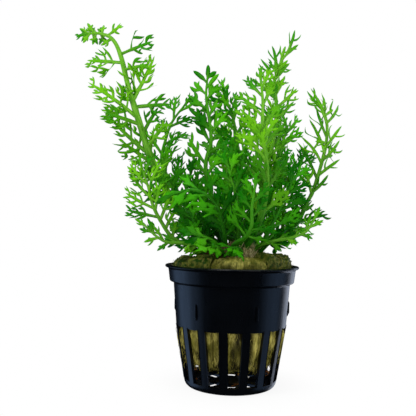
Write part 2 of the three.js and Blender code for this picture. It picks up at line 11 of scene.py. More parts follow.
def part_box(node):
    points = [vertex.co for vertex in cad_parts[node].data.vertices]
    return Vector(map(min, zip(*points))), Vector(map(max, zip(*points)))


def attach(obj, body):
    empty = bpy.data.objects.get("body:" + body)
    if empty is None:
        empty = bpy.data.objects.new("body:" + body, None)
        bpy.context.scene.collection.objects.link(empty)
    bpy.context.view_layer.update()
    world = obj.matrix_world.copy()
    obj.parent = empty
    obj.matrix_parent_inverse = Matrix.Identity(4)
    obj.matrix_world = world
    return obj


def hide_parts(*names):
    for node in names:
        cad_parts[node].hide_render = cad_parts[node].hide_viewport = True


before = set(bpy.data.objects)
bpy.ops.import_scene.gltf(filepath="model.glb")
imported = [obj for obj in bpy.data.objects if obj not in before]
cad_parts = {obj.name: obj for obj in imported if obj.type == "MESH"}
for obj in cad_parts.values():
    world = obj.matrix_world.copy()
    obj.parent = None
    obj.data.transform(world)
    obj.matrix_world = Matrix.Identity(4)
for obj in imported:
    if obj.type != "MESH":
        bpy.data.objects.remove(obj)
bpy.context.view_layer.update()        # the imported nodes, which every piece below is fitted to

# Net pot: one injection moulding in black polypropylene, with a flared rim, a collar, sixteen tall
# slots, six stacking fins and a floor with eight drain holes. All the rest stands in it.
MM = 0.001
pot_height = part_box("net_pot")[1][2] / MM
rim_radius = 27.5
rim_thickness = 0.9
rim_land = 1.2
corner_round = 0.5
wall = 1.0
collar_top_radius = 26.2
collar_foot = (25.5, 41.6)
shoulder = (23.9, 41.0)
slot_top = (22.5, 24.3)
slot_foot = (18.9, 3.0)
foot_radius = 17.3
floor_thickness = 1.4
slot_count = 16
slot_turn = math.radians(-90 + 4)
bar_width = 3.1
slot_rows = 9
slot_columns = 8
wall_columns = slot_columns * slot_count
fin_count = 6
fin_turn = math.radians(-90 + 25)
fin_heights = (28.0, 34.2)
fin_width = 0.9
fin_reach = 1.3
drain_count = 8
drain_reach = (6.5, 13.0)
drain_width = 4.4
drain_columns = 6
floor_columns = drain_columns * drain_count
opening_columns = 4       # how many of a slot's or a drain hole's columns are open
hub_radius = 4.0
edge_round = 0.22


def linear(colour):
    """An sRGB hex colour as linear red, green and blue, with 1 for alpha."""
    shares = [int(colour[k:k + 2], 16) / 255 for k in (1, 3, 5)]
    return [s / 12.92 if s <= 0.04045 else ((s + 0.055) / 1.055) ** 2.4 for s in shares] + [1.0]


def add_node(tree, kind, links, **settings):
    """Adds one shader node. Each of its inputs in links gets a value or another node's socket."""
    made = tree.nodes.new("ShaderNode" + kind)
    for name, value in settings.items():
        setattr(made, name, value)
    for name, value in links.items():
        if isinstance(value, bpy.types.NodeSocket):
            tree.links.new(value, made.inputs[name])
        else:
            made.inputs[name].default_value = value
    return made


def new_finish(name):
    """A material with its node tree, its Principled shader and the place on the object."""
    made = bpy.data.materials.new(name)
    made.use_nodes = True
    place = add_node(made.node_tree, "TexCoord", {}).outputs["Object"]
    return made, made.node_tree, made.node_tree.nodes["Principled BSDF"], place


def per_metre(size):
    """The texture scale at which a noise's lumps are this many millimetres across."""
    return 1 / (size * MM)


def mesh_object(name, parts, marks, finish):
    """One smooth mesh from parts: each is its points, its faces and its values for the marks."""
    mesh = bpy.data.meshes.new(name)
    faces = []
    start = 0
    for part in parts:
        faces += [[start + corner for corner in face] for face in part[1]]
        start += len(part[0])
    mesh.from_pydata((np.concatenate([part[0] for part in parts]) * MM).tolist(), [], faces)
    for k, mark in enumerate(marks):
        values = np.concatenate([part[2 + k] for part in parts]).astype(np.float32)
        mesh.attributes.new(mark, "FLOAT_VECTOR", "POINT").data.foreach_set("vector", values.ravel())
    mesh.shade_smooth()
    mesh.materials.append(finish)
    made = bpy.data.objects.new(name, mesh)
    bpy.context.scene.collection.objects.link(made)
    return made


def rounded(corners, radius, steps=4):
    """A line through corners with each inner corner turned into a small curve."""
    line = [corners[0]]
    for before, corner, after in zip(corners, corners[1:], corners[2:]):
        before, corner, after = (np.array(p, float) for p in (before, corner, after))
        start, end = (
            corner + (other - corner) * min(0.5, radius / np.linalg.norm(other - corner))
            for other in (before, after)
        )
        for t in np.linspace(0, 1, steps + 1):
            line.append((1 - t) ** 2 * start + 2 * t * (1 - t) * corner + t * t * end)
    return [tuple(p) for p in line] + [corners[-1]]


def ring_angles(radius):
    """The angles of the wall's points at a radius: five across a slot and three across a bar."""
    pitch = 2 * math.pi / slot_count
    bounded = min(max(radius, slot_foot[0]), slot_top[0])
    gap = math.asin(math.sin(pitch / 2) - bar_width / 2 / bounded)
    across = [-gap, -gap / 2, 0, gap / 2, gap]
    bar = [gap + (pitch - 2 * gap) * share for share in (0.25, 0.5, 0.75)]
    return [slot_turn + pitch * k + a for k in range(slot_count) for a in across + bar]


def floor_angles(radius):
    """The angles of the floor's points at a radius: five across a drain hole and one between two."""
    pitch = 2 * math.pi / drain_count
    hole = math.asin(drain_width / 2 / min(max(radius, drain_reach[0]), drain_reach[1]))
    across = [-hole, -hole / 2, 0, hole / 2, hole]
    return [pitch * k + a for k in range(drain_count) for a in across + [pitch / 2]]


def stitch(inner, outer, angles_inner, angles_outer):
    """Triangles between two rings of point numbers with different counts, facing up."""
    faces = []
    full = 2 * math.pi
    a_in = [(a % full, n) for a, n in zip(angles_inner, inner)]
    a_out = [(a % full, n) for a, n in zip(angles_outer, outer)]
    a_in.sort()
    a_out.sort()
    i = j = 0
    while i < len(a_in) or j < len(a_out):
        here_in = a_in[i % len(a_in)][1]
        here_out = a_out[j % len(a_out)][1]
        next_in = a_in[(i + 1) % len(a_in)][0] + full * ((i + 1) // len(a_in))
        next_out = a_out[(j + 1) % len(a_out)][0] + full * ((j + 1) // len(a_out))
        if j < len(a_out) and (i >= len(a_in) or next_out <= next_in):
            faces.append((here_in, here_out, a_out[(j + 1) % len(a_out)][1]))
            j += 1
        else:
            faces.append((here_in, here_out, a_in[(i + 1) % len(a_in)][1]))
            i += 1
    return faces


def wall_profile():
    """The wall's rows, (radius, height), up its outside and down its inside, and where its slots are.

    The slots are given as their first and last row on the outside, and the same on the inside.
    """
    foot_curve = [
        (foot_radius + (slot_foot[0] - foot_radius) * math.sin(t), slot_foot[1] * (1 - math.cos(t)))
        for t in np.linspace(0, math.pi / 2, 6)
    ]
    slot_run = np.array(slot_top) - np.array(slot_foot)
    slot_line = [tuple(np.array(slot_foot) + slot_run * t) for t in np.linspace(0, 1, slot_rows)]
    lip = pot_height - rim_thickness
    corners = [
        slot_top, shoulder, collar_foot, (collar_top_radius, lip - 0.5),
        (rim_radius, lip), (rim_radius, pot_height), (rim_radius - rim_land, pot_height),
        (collar_top_radius - wall, lip - 0.4), (shoulder[0] - wall, shoulder[1]),
        (slot_top[0] - wall, slot_top[1]),
    ]
    upper = rounded(corners, corner_round)
    inner_line = [(r - wall, z) for r, z in reversed(slot_line)]
    inner_foot = [(slot_foot[0] - 1.05 * wall, 2.2), (foot_radius - 0.1, floor_thickness)]
    rows = foot_curve + slot_line[1:] + upper[1:] + inner_line[1:] + inner_foot
    outer_foot = len(foot_curve) - 1
    inner_top = outer_foot + slot_rows + len(upper) - 2
    return rows, (outer_foot, outer_foot + slot_rows - 1), (inner_top, inner_top + slot_rows - 1)


def on_wall(row, column):
    """The number of the wall's point in a row and a column."""
    return row * wall_columns + column % wall_columns


def wall_skin(rows, outside, inside):
    """The wall's points and faces, open at its slots, whose sides it closes."""
    points = []
    for row, (radius, height) in enumerate(rows):
        shape = radius + wall if inside[0] <= row <= inside[1] else radius
        points += [(radius * math.cos(a), radius * math.sin(a), height) for a in ring_angles(shape)]
    faces = []
    for row in range(len(rows) - 1):
        by_slot = outside[0] <= row < outside[1] or inside[0] <= row < inside[1]
        for column in range(wall_columns):
            if not (by_slot and column % slot_columns < opening_columns):
                faces.append((on_wall(row, column), on_wall(row, column + 1),
                              on_wall(row + 1, column + 1), on_wall(row + 1, column)))
    for left in range(0, wall_columns, slot_columns):
        right = left + opening_columns
        for step in range(slot_rows - 1):
            low_out, low_in = outside[0] + step, inside[1] - step
            for column, flip in ((left, False), (right, True)):
                side = (on_wall(low_out, column), on_wall(low_out + 1, column),
                        on_wall(low_in - 1, column), on_wall(low_in, column))
                faces.append(side[::-1] if flip else side)
        for c in range(left, right):
            faces.append((on_wall(outside[0], c + 1), on_wall(outside[0], c),
                          on_wall(inside[1], c), on_wall(inside[1], c + 1)))
            faces.append((on_wall(outside[1], c), on_wall(outside[1], c + 1),
                          on_wall(inside[0], c + 1), on_wall(inside[0], c)))
    return points, faces


def floor_skin(rows, first):
    """The floor's points, numbered from first on, and its faces, which join the wall's two feet."""
    radii = [foot_radius - 2.2, drain_reach[1], sum(drain_reach) / 2, drain_reach[0], hub_radius]
    points = []
    sheets = []
    for height in (0.0, floor_thickness):
        rings = []
        for radius in radii:
            start = first + len(points)
            rings.append(list(range(start, start + floor_columns)))
            points += [(radius * math.cos(a), radius * math.sin(a), height) for a in floor_angles(radius)]
        sheets.append((rings, first + len(points)))
        points.append((0, 0, height))
    faces = []
    for (rings, middle), wall_row, upward in zip(sheets, (0, len(rows) - 1), (False, True)):
        made = []
        for ring, (outer, inner) in enumerate(zip(rings, rings[1:])):
            for c in range(floor_columns):
                d = (c + 1) % floor_columns
                if ring not in (1, 2) or c % drain_columns >= opening_columns:
                    made.append((outer[c], outer[d], inner[d], inner[c]))
        made += [(rings[-1][c], rings[-1][(c + 1) % floor_columns], middle) for c in range(floor_columns)]
        wall_ring = [on_wall(wall_row, c) for c in range(wall_columns)]
        joined = stitch(rings[0], wall_ring, floor_angles(radii[0]), ring_angles(rows[wall_row][0]))
        made += [(b, c, a) for a, b, c in joined]
        faces += made if upward else [face[::-1] for face in made]
    (under, _), (over, _) = sheets
    for left in range(0, floor_columns, drain_columns):
        right = left + opening_columns
        for ring in (1, 2):
            for c, flip in ((left, False), (right, True)):
                side = (under[ring][c], under[ring + 1][c], over[ring + 1][c], over[ring][c])
                faces.append(side[::-1] if flip else side)
        for ring, flip in ((1, True), (3, False)):
            for c in range(left, right):
                side = (under[ring][c], under[ring][c + 1], over[ring][c + 1], over[ring][c])
                faces.append(side[::-1] if flip else side)
    return points, faces


def pot_moulding():
    """The pot's points and faces: wall, rim and floor in one skin, with its slots and holes."""
    rows, outside, inside = wall_profile()
    wall_points, wall_faces = wall_skin(rows, outside, inside)
    floor_points, floor_faces = floor_skin(rows, len(wall_points))
    return np.array(wall_points + floor_points), wall_faces + floor_faces


def fin(turn):
    """A stacking fin: a narrow upright rib with a slanted top and foot, rooted in the wall."""
    low, high = fin_heights
    root = slot_top[0] - 0.5
    outline = [(root, low), (slot_top[0] + 0.5, low), (slot_top[0] + 1.25, low + 1.6),
               (slot_top[0] + fin_reach, high - 0.8), (slot_top[0] + 0.9, high), (root, high)]
    points = []
    for side in (-fin_width / 2, fin_width / 2):
        for radius, height in outline:
            points.append((radius * math.cos(turn) - side * math.sin(turn),
                           radius * math.sin(turn) + side * math.cos(turn), height))
    n = len(outline)
    faces = [tuple(range(n)), tuple(reversed(range(n, 2 * n)))]
    faces += [((k + 1) % n, k, k + n, (k + 1) % n + n) for k in range(n)]
    return np.array(points), faces


# Polypropylene, moulded against blasted steel: a cold blue-black satin, whose sheen runs up and
# down the curved wall, with faint patches where it has been handled and wetted. The blasted grain
# is drawn 0.35 mm wide, coarser than it is, so that it shows.
polypropylene, tree, shader, place = new_finish("polypropylene_moulded_satin")
patches = add_node(tree, "TexNoise", {"Vector": place, "Scale": per_metre(9), "Detail": 3.0})
grain = add_node(tree, "TexNoise", {"Vector": place, "Scale": per_metre(0.35), "Detail": 2.0})
flow = add_node(tree, "Mapping", {"Vector": place, "Scale": (1.0, 1.0, 0.12)})
drag = add_node(tree, "TexNoise", {"Vector": flow.outputs[0], "Scale": per_metre(1.1), "Detail": 4.0})
tone = add_node(tree, "Mix", {0: patches.outputs[0], 6: linear("#010203"), 7: linear("#04060a")},
                data_type="RGBA")
sheen = add_node(tree, "MapRange", {"Value": drag.outputs[0], "From Min": 0.3, "From Max": 0.7,
                                    "To Min": 0.26, "To Max": 0.36})
relief = add_node(tree, "Bump", {"Height": grain.outputs[0], "Strength": 0.12, "Distance": 0.05 * MM})
tree.links.new(tone.outputs[2], shader.inputs["Base Color"])
tree.links.new(sheen.outputs[0], shader.inputs["Roughness"])
tree.links.new(relief.outputs[0], shader.inputs["Normal"])
shader.inputs["IOR"].default_value = 1.49

fins = [fin(fin_turn + 2 * math.pi * k / fin_count) for k in range(fin_count)]
pot = mesh_object("net_pot_moulding", [pot_moulding(), *fins], (), polypropylene)
bevel = pot.modifiers.new("moulded_edges", "BEVEL")
bevel.width = edge_round * MM
bevel.segments = 2
bevel.limit_method = "ANGLE"
bevel.angle_limit = math.radians(38)
pot.modifiers.new("even_faces", "WEIGHTED_NORMAL").keep_sharp = True
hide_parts("net_pot")
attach(pot, "root")

# Rock wool: three wads of wet mineral wool, pressed in by hand between the root ball and the pot.
# The fibres run up and down in folds, fray at the top and the foot, and swell a little into the slots.
wool_foot = 8.0
wool_inset = 0.25
slot_swell = 1.75
slot_half_turn = 0.108    # half a slot's width, as an angle in radians
crown_foot = 9.0
crown_foot_radius = 8.2
crown_radius = 12.8
crown_shoulder = 50.0
wool_rows = 72
slice_width = 20
ring_step = 1.5
fibres_per_degree = 2300 / 130
# Each wad spans these degrees round the crown. Its top leans, and it has its own moss and its own
# painted shade below the rim.
wads = {
    "rock_wool_left": {"span": (112, 248), "top": 51.7, "lean": 1.2, "seed": 3, "moss": 1.0, "slot_shade": 0.1},
    "rock_wool_middle": {"span": (251, 304), "top": 52.1, "lean": 0.4, "seed": 43, "moss": 0.55, "slot_shade": 0.4},
    "rock_wool_right": {"span": (307, 469), "top": 52.9, "lean": -2.4, "seed": 83, "moss": 0.95, "slot_shade": 0.0},
}


def uneven(seed):
    """A number from 0 to 1 that looks random and is always the same for the same seed."""
    wave = math.sin(seed * 12.9898) * 43758.5453
    return wave - math.floor(wave)


def pot_inside(height):
    """The radius of the pot's inside at a height."""
    heights = [floor_thickness, slot_top[1], shoulder[1], pot_height]
    radii = [foot_radius - 0.1, slot_top[0] - wall, shoulder[0] - wall, collar_top_radius - wall]
    return np.interp(height, heights, radii)


def crown_outside(height):
    """The radius of the crown and its root ball at a height."""
    share = np.clip((height - crown_foot) / (crown_shoulder - crown_foot), 0, 1)
    return crown_foot_radius + (crown_radius - crown_foot_radius) * share ** 0.7


def lumps(points, across, upright, seed):
    """Smooth noise from -1 to 1 at each point, with lumps of one width across and another upright."""
    scaled = np.asarray(points) / (across, across, upright) + (0, 0, seed)
    return np.array([noise.noise(Vector(place)) for place in scaled])


def tubes(paths, radii, sides):
    """Closed tubes along paths, an array of (tubes, stations, 3), with a radius at each station."""
    runs = np.gradient(paths, axis=1)
    runs /= np.linalg.norm(runs, axis=2, keepdims=True)
    across = np.empty_like(runs)
    aside = np.cross(runs[:, 0], (0.31, 0.52, 0.79))
    for k in range(runs.shape[1]):
        aside = aside - runs[:, k] * np.sum(aside * runs[:, k], axis=1, keepdims=True)
        aside /= np.linalg.norm(aside, axis=1, keepdims=True)
        across[:, k] = aside
    up = np.cross(runs, across)
    turn = 2 * np.pi * np.arange(sides)[:, None] / sides
    ring = across[:, :, None] * np.cos(turn) + up[:, :, None] * np.sin(turn)
    points = (paths[:, :, None] + ring * radii[:, :, None, None]).reshape(-1, 3)
    number = np.arange(len(points)).reshape(*radii.shape, sides)
    following = np.roll(number, -1, axis=2)
    skin = np.stack([number[:, :-1], following[:, :-1], following[:, 1:], number[:, 1:]], axis=-1)
    ends = [*number[:, 0, ::-1].tolist(), *number[:, -1].tolist()]
    return points, skin.reshape(-1, 4).tolist() + ends


def slot_bulge(points):
    """How far out of its slot the wool by the wall swells: most at the pot's two sides."""
    pitch = 2 * math.pi / slot_count
    off = np.abs((np.arctan2(points[:, 1], points[:, 0]) - slot_turn + pitch / 2) % pitch - pitch / 2)
    side = -0.4 + 1.4 * np.minimum(1, np.abs(points[:, 0]) / 18)
    over_slot = np.clip(1 - (off / slot_half_turn) ** 2, 0, 1)
    below_top = np.clip((slot_top[1] - 0.3 - points[:, 2]) / 2, 0, 1)
    return slot_swell * side * over_slot * below_top


def keep_in_pot(points):
    """Pulls points in to the pot's inside wall, or past it where a slot lets them swell out."""
    radius = np.hypot(points[:, 0], points[:, 1])
    most = pot_inside(points[:, 2]) - 0.12 + slot_bulge(points)
    most = np.where(points[:, 2] > pot_height - 0.5, 99, most)
    shrink = np.minimum(1, most / np.maximum(radius, 1e-6))
    return np.column_stack([points[:, :2] * shrink[:, None], points[:, 2]])


def wad_grid(wad):
    """A wad's surface as rings of points round its rounded section, one for each step of its span."""
    (start, end), seed = wad["span"], wad["seed"]
    slice_shares = np.linspace(0, 1, round((end - start) / slice_width) + 1)
    highs = [
        wad["top"] + wad["lean"] * (share - 0.5) + 1.4 * (uneven(seed + i) - 0.5)
        for i, share in enumerate(slice_shares)
    ]
    rings = []
    for share in np.linspace(0, 1, round((end - start) / ring_step) + 1):
        edge = min(1, 6 * min(share, 1 - share) + 0.35)
        high = np.interp(share, slice_shares, highs)
        angle = math.radians(start + (end - start) * share)
        section = [
            (crown_outside(wool_foot) + 1.6, wool_foot + 1),
            (pot_inside(wool_foot) - 0.9, wool_foot + 0.4),
            (pot_inside(slot_top[1]) - wool_inset, slot_top[1]),
            (pot_inside(shoulder[1]) - wool_inset, shoulder[1]),
            (pot_inside(pot_height) - 0.7, high - 3 + edge),
            (pot_inside(pot_height) - 3.2, high),
            (crown_outside(crown_shoulder) + 2.5, high - 0.3 * edge),
            (crown_outside(crown_shoulder) + 0.6, high - 2.5 + edge),
        ]
        closed = np.array(section + section[:1])
        length = np.concatenate([[0], np.cumsum(np.linalg.norm(np.diff(closed, axis=0), axis=1))])
        at = np.linspace(0, length[-1], wool_rows, endpoint=False)
        line = np.column_stack([np.interp(at, length, closed[:, k]) for k in (0, 1)])
        for _ in range(3):
            line = (np.roll(line, 1, axis=0) + 2 * line + np.roll(line, -1, axis=0)) / 4
        rings.append([(r * math.cos(angle), r * math.sin(angle), z) for r, z in line])
    return np.array(rings)


def grid_normals(grid):
    """The way out of the surface at each point of a wad's rings."""
    along = np.gradient(grid, axis=0)
    round_section = np.roll(grid, -1, axis=1) - np.roll(grid, 1, axis=1)
    out = np.cross(along, round_section)
    return out / np.maximum(np.linalg.norm(out, axis=2, keepdims=True), 1e-9)


def wad_body(wad, grid, out):
    """A wad's folded skin: points, faces and each point's painted shade, moss and raggedness."""
    seed = wad["seed"]
    flat = grid.reshape(-1, 3)
    creases = np.clip(1 - 3.2 * np.abs(lumps(flat, 3.4, 15, seed)), 0, 1) ** 1.5
    hollows = np.clip(lumps(flat, 4.5, 7, seed + 31) - 0.12, 0, 1) * 2.2
    swell = lumps(flat, 7, 12, seed + 11)
    ragged = lumps(flat, 1.1, 1.6, seed + 57)
    at_top = np.clip((flat[:, 2] - 45) / 4, 0, 1)
    at_foot = np.clip((wool_foot + 3 - flat[:, 2]) / 3, 0, 1)
    # The depth of the creases and hollows sinks the skin, and it is also painted on as shade.
    depth = (0.55 * creases + 0.9 * np.clip(hollows, 0, 1)) * (1 - 0.4 * at_top)
    tufts = lumps(flat, 2.6, 3, seed + 71) * wad["moss"]
    fray = 0.16 + 0.45 * at_top + 0.3 * at_foot
    push = -1.25 * depth + 0.25 * swell + fray * ragged + 1.2 * at_top * tufts
    by_wall = np.hypot(flat[:, 0], flat[:, 1]) > pot_inside(flat[:, 2]) - 1.2
    push += np.where(by_wall, slot_bulge(flat) + wool_inset, 0)
    points = keep_in_pot(flat + out.reshape(-1, 3) * push[:, None])
    number = np.arange(len(flat)).reshape(grid.shape[:2])
    following = np.roll(number, -1, axis=1)
    skin = np.stack([number[:-1], number[1:], following[1:], following[:-1]], axis=-1)
    skin = skin.reshape(-1, 4).tolist() + [number[0].tolist(), number[-1, ::-1].tolist()]
    moss = wad["moss"] * np.clip((flat[:, 2] - 43) / 5, 0, 1)
    # Painted shade on the wool below the rim, most on the middle wad, whose front slots sit deepest.
    slot_shade = wad["slot_shade"] * np.clip((44 - flat[:, 2]) / 4, 0, 1) * (0.7 + lumps(flat, 5, 9, seed + 83))
    return points, skin, np.column_stack([depth + slot_shade, moss, ragged])


def wad_fibres(wad, grid, out, body):
    """The loose fibres that lie on a wad's skin and stand up from it, with its painted shade and moss."""
    rng = np.random.default_rng(wad["seed"])
    flat = grid.reshape(-1, 3)
    points, _, looks = body
    count = int(fibres_per_degree * (wad["span"][1] - wad["span"][0]))
    chosen = rng.integers(0, len(flat), count * 2)
    outside = np.hypot(flat[chosen, 0], flat[chosen, 1]) > crown_outside(flat[chosen, 2]) + 1.2
    chosen = chosen[outside][:count]
    count = len(chosen)
    normal = out.reshape(-1, 3)[chosen]
    upright = np.abs(normal[:, 2:3])
    runs = np.column_stack([np.zeros((count, 2)), rng.choice([-1, 1], count)]) * (1 - upright)
    runs = runs + normal * (0.12 + 1.1 * upright) + rng.normal(size=(count, 3)) * (0.12 + 0.6 * upright)
    runs /= np.linalg.norm(runs, axis=1, keepdims=True)
    near_top = np.clip((points[chosen, 2:] - 45) / 4, 0, 1)
    length = rng.uniform(2.5, 7.0, (count, 1)) * (1 - 0.72 * upright) * (1 - 0.85 * near_top)
    steps = np.linspace(0, 1, 5)[None, :, None]
    sway = rng.normal(size=(count, 1, 3)) * length[:, None] * 0.12
    paths = points[chosen][:, None] + runs[:, None] * length[:, None] * (steps - 0.15)
    paths = paths + sway * np.sin(3 * steps) + normal[:, None] * 0.5 * steps * (1 - steps)
    paths = keep_in_pot(paths.reshape(-1, 3)).reshape(paths.shape)
    thick = rng.uniform(0.04, 0.085, (count, 1)) * np.array([0.6, 1, 1, 0.8, 0.3])
    strands, faces = tubes(paths, thick, 3)
    # A fibre takes half the painted shade of the skin it starts from.
    dark = looks[chosen, 0] * 0.5 - 0.25
    each = np.column_stack([dark, looks[chosen, 1], rng.uniform(-1, 1, count)])
    return strands, faces, np.repeat(each, 5 * 3, axis=0)


def wad_parts(wad):
    """A wad's folded skin and its loose fibres."""
    grid = wad_grid(wad)
    out = grid_normals(grid)
    body = wad_body(wad, grid, out)
    return [body, wad_fibres(wad, grid, out, body)]


# Mineral wool, spun and bonded, and wet: olive to straw fibres, with painted shade in the creases
# between the folds and on the wool below the rim, and green algae on the light top of the two side
# wads. The fibres are drawn about 0.1 mm thick and their strands 0.55 mm wide, many times as thick
# as real ones, so that they show.
mineral_wool, tree, shader, place = new_finish("mineral_wool_spun_wet")
marks = add_node(tree, "Attribute", {}, attribute_name="wool")
parted = add_node(tree, "SeparateXYZ", {0: marks.outputs["Vector"]})
upright = add_node(tree, "Mapping", {"Vector": place, "Scale": (1.0, 1.0, 0.12)})
strands = add_node(tree, "TexNoise", {"Vector": upright.outputs[0], "Scale": per_metre(0.55), "Detail": 5.0})
stains = add_node(tree, "TexNoise", {"Vector": place, "Scale": per_metre(5.5), "Detail": 4.0})
algae = add_node(tree, "TexNoise", {"Vector": place, "Scale": per_metre(1.5), "Detail": 5.0})
strand_share = add_node(tree, "MapRange", {"Value": strands.outputs[0], "From Min": 0.32, "From Max": 0.68})
stain_share = add_node(tree, "MapRange", {"Value": stains.outputs[0], "From Min": 0.38, "From Max": 0.66})
dry = add_node(tree, "Mix", {0: strand_share.outputs[0], 6: linear("#7a7222"), 7: linear("#cdc168")},
               data_type="RGBA")
stained = add_node(tree, "Mix", {0: stain_share.outputs[0], 6: dry.outputs[2], 7: linear("#625e18")},
                   data_type="RGBA")
algae_share = add_node(tree, "MapRange", {"Value": algae.outputs[0], "From Min": 0.38, "From Max": 0.6,
                                          "To Min": 0.5})
moss_share = add_node(tree, "Math", {0: algae_share.outputs[0], 1: parted.outputs[1]},
                      operation="MULTIPLY")
mossy = add_node(tree, "Mix", {0: moss_share.outputs[0], 6: stained.outputs[2], 7: linear("#183a00")},
                 data_type="RGBA")
# Painted shade: the creases, the hollows and the wool below the rim darken towards near black.
hollow_shade = add_node(tree, "MapRange", {"Value": parted.outputs[0], "From Min": 0.05, "From Max": 0.85,
                                     "To Max": 0.93})
deep = add_node(tree, "Mix", {0: hollow_shade.outputs[0], 6: mossy.outputs[2], 7: linear("#120e02")},
                data_type="RGBA")
relief = add_node(tree, "Bump", {"Height": strands.outputs[0], "Strength": 0.6, "Distance": 0.25 * MM})
tree.links.new(deep.outputs[2], shader.inputs["Base Color"])
tree.links.new(relief.outputs[0], shader.inputs["Normal"])
shader.inputs["Roughness"].default_value = 0.62
shader.inputs["Specular IOR Level"].default_value = 0.15

for name, wad in wads.items():
    wool = mesh_object(name + "_fibres", wad_parts(wad), ("wool",), mineral_wool)
    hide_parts(name)
    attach(wool, "root")

# Crown: the plant's short stem and its root ball, from which every frond springs. It is living
# fibre, wrapped in old leaf bases and brown hair, and the wool holds it in the pot.
crown_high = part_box("crown")[1][2] / MM
crown_rows = [(0.4, crown_foot), (crown_foot_radius, crown_foot), (crown_outside(22), 22),
              (crown_radius, 44), (crown_radius, 49), (12.1, 53.0), (10.0, 54.9), (6.5, 55.9),
              (0.4, crown_high)]
crown_columns = 110
crown_rings = 70
hair_count = 3200


def crown_skin():
    """The crown's skin, ribbed and lumpy with old leaf bases."""
    line = np.array(crown_rows)
    length = np.concatenate([[0], np.cumsum(np.linalg.norm(np.diff(line, axis=0), axis=1))])
    at = np.linspace(0, length[-1], crown_rings)
    profile = np.column_stack([np.interp(at, length, line[:, k]) for k in (0, 1)])
    turn = 2 * np.pi * np.arange(crown_columns) / crown_columns
    grid = np.stack([
        np.outer(profile[:, 0], np.cos(turn)),
        np.outer(profile[:, 0], np.sin(turn)),
        np.repeat(profile[:, 1:], crown_columns, axis=1),
    ], axis=2)
    flat = grid.reshape(-1, 3)
    ribs = lumps(flat, 1.5, 9, 5)
    bases = lumps(flat, 4.0, 4.5, 9)
    bare = np.clip((flat[:, 2] - 40) / 8, 0.2, 1)
    push = bare * (0.45 * ribs + 0.55 * np.minimum(bases, 0.3) - 0.35)
    reach = np.hypot(flat[:, 0], flat[:, 1])
    points = flat.copy()
    points[:, :2] *= (1 + push / np.maximum(reach, 3))[:, None]
    points[:, 2] += np.where(flat[:, 2] > 50, np.minimum(push, 0) * 1.2, 0)
    number = np.arange(len(flat)).reshape(grid.shape[:2])
    following = np.roll(number, -1, axis=1)
    skin = np.stack([number[:-1], following[:-1], following[1:], number[1:]], axis=-1)
    skin = skin.reshape(-1, 4).tolist() + [number[0, ::-1].tolist(), number[-1].tolist()]
    return points, skin, np.column_stack([ribs, bases, bare])


def crown_hairs():
    """The hairs and old fibres that stand out of the crown's top."""
    rng = np.random.default_rng(17)
    turn = rng.uniform(0, 2 * np.pi, hair_count)
    high = rng.uniform(46, crown_high + 1, hair_count)
    radius = np.interp(high, [r[1] for r in crown_rows[3:]], [r[0] for r in crown_rows[3:]]) - 0.3
    outward = np.column_stack([np.cos(turn), np.sin(turn), np.zeros(hair_count)])
    rooted_at = np.minimum(high, crown_high - 0.3)
    starts = outward * radius[:, None] + np.column_stack([np.zeros((hair_count, 2)), rooted_at])
    on_top = np.clip((high - 52) / 4, 0, 1)[:, None]
    runs = outward * (0.15 + 0.2 * on_top) + np.array([0, 0, 1.0]) * (1 - 0.5 * on_top)
    runs = runs + rng.normal(size=(hair_count, 3)) * 0.3
    runs /= np.linalg.norm(runs, axis=1, keepdims=True)
    length = rng.uniform(1.5, 4.5, (hair_count, 1)) * (1 - 0.5 * on_top)
    steps = np.linspace(0, 1, 5)[None, :, None]
    paths = starts[:, None] + runs[:, None] * length[:, None] * steps
    paths = paths + rng.normal(size=(hair_count, 1, 3)) * 0.35 * steps ** 2
    thick = rng.uniform(0.05, 0.13, (hair_count, 1)) * np.array([1, 1, 0.85, 0.6, 0.25])
    strands, faces = tubes(paths, thick, 3)
    tones = [rng.uniform(-0.3, 1, hair_count), rng.uniform(-0.3, 1, hair_count)]
    each = np.column_stack([*tones, np.ones(hair_count)])
    return strands, faces, np.repeat(each, 5 * 3, axis=0)


# Crown fibre, grown in upright streaks: dark brown with old leaf bases on the left, where painted
# shade falls, and straw on the right, where painted light falls, with painted shade in the grooves
# between its ribs. It is dull and rough all over.
crown_fibre, tree, shader, place = new_finish("crown_fibre_grown")
marks = add_node(tree, "Attribute", {}, attribute_name="fibre")
parted = add_node(tree, "SeparateXYZ", {0: marks.outputs["Vector"]})
upright = add_node(tree, "Mapping", {"Vector": place, "Scale": (1.0, 1.0, 0.16)})
streaks = add_node(tree, "TexNoise", {"Vector": upright.outputs[0], "Scale": per_metre(1.2), "Detail": 4.0})
where = add_node(tree, "SeparateXYZ", {0: place})
# Painted shade on the left and painted light on the right, over old leaf bases and straw fibre.
shaded_left_lit_right = add_node(tree, "MapRange", {"Value": where.outputs[0], "From Min": -5 * MM, "From Max": 4 * MM})
streak_share = add_node(tree, "MapRange", {"Value": streaks.outputs[0], "From Min": 0.35, "From Max": 0.65})
pale = add_node(tree, "Mix", {0: streak_share.outputs[0], 6: linear("#8a7c3c"), 7: linear("#e0d8a0")},
                data_type="RGBA")
brown = add_node(tree, "Mix", {0: streak_share.outputs[0], 6: linear("#1f1206"), 7: linear("#6a3f18")},
                 data_type="RGBA")
across = add_node(tree, "Mix", {0: shaded_left_lit_right.outputs[0], 6: brown.outputs[2], 7: pale.outputs[2]},
                  data_type="RGBA")
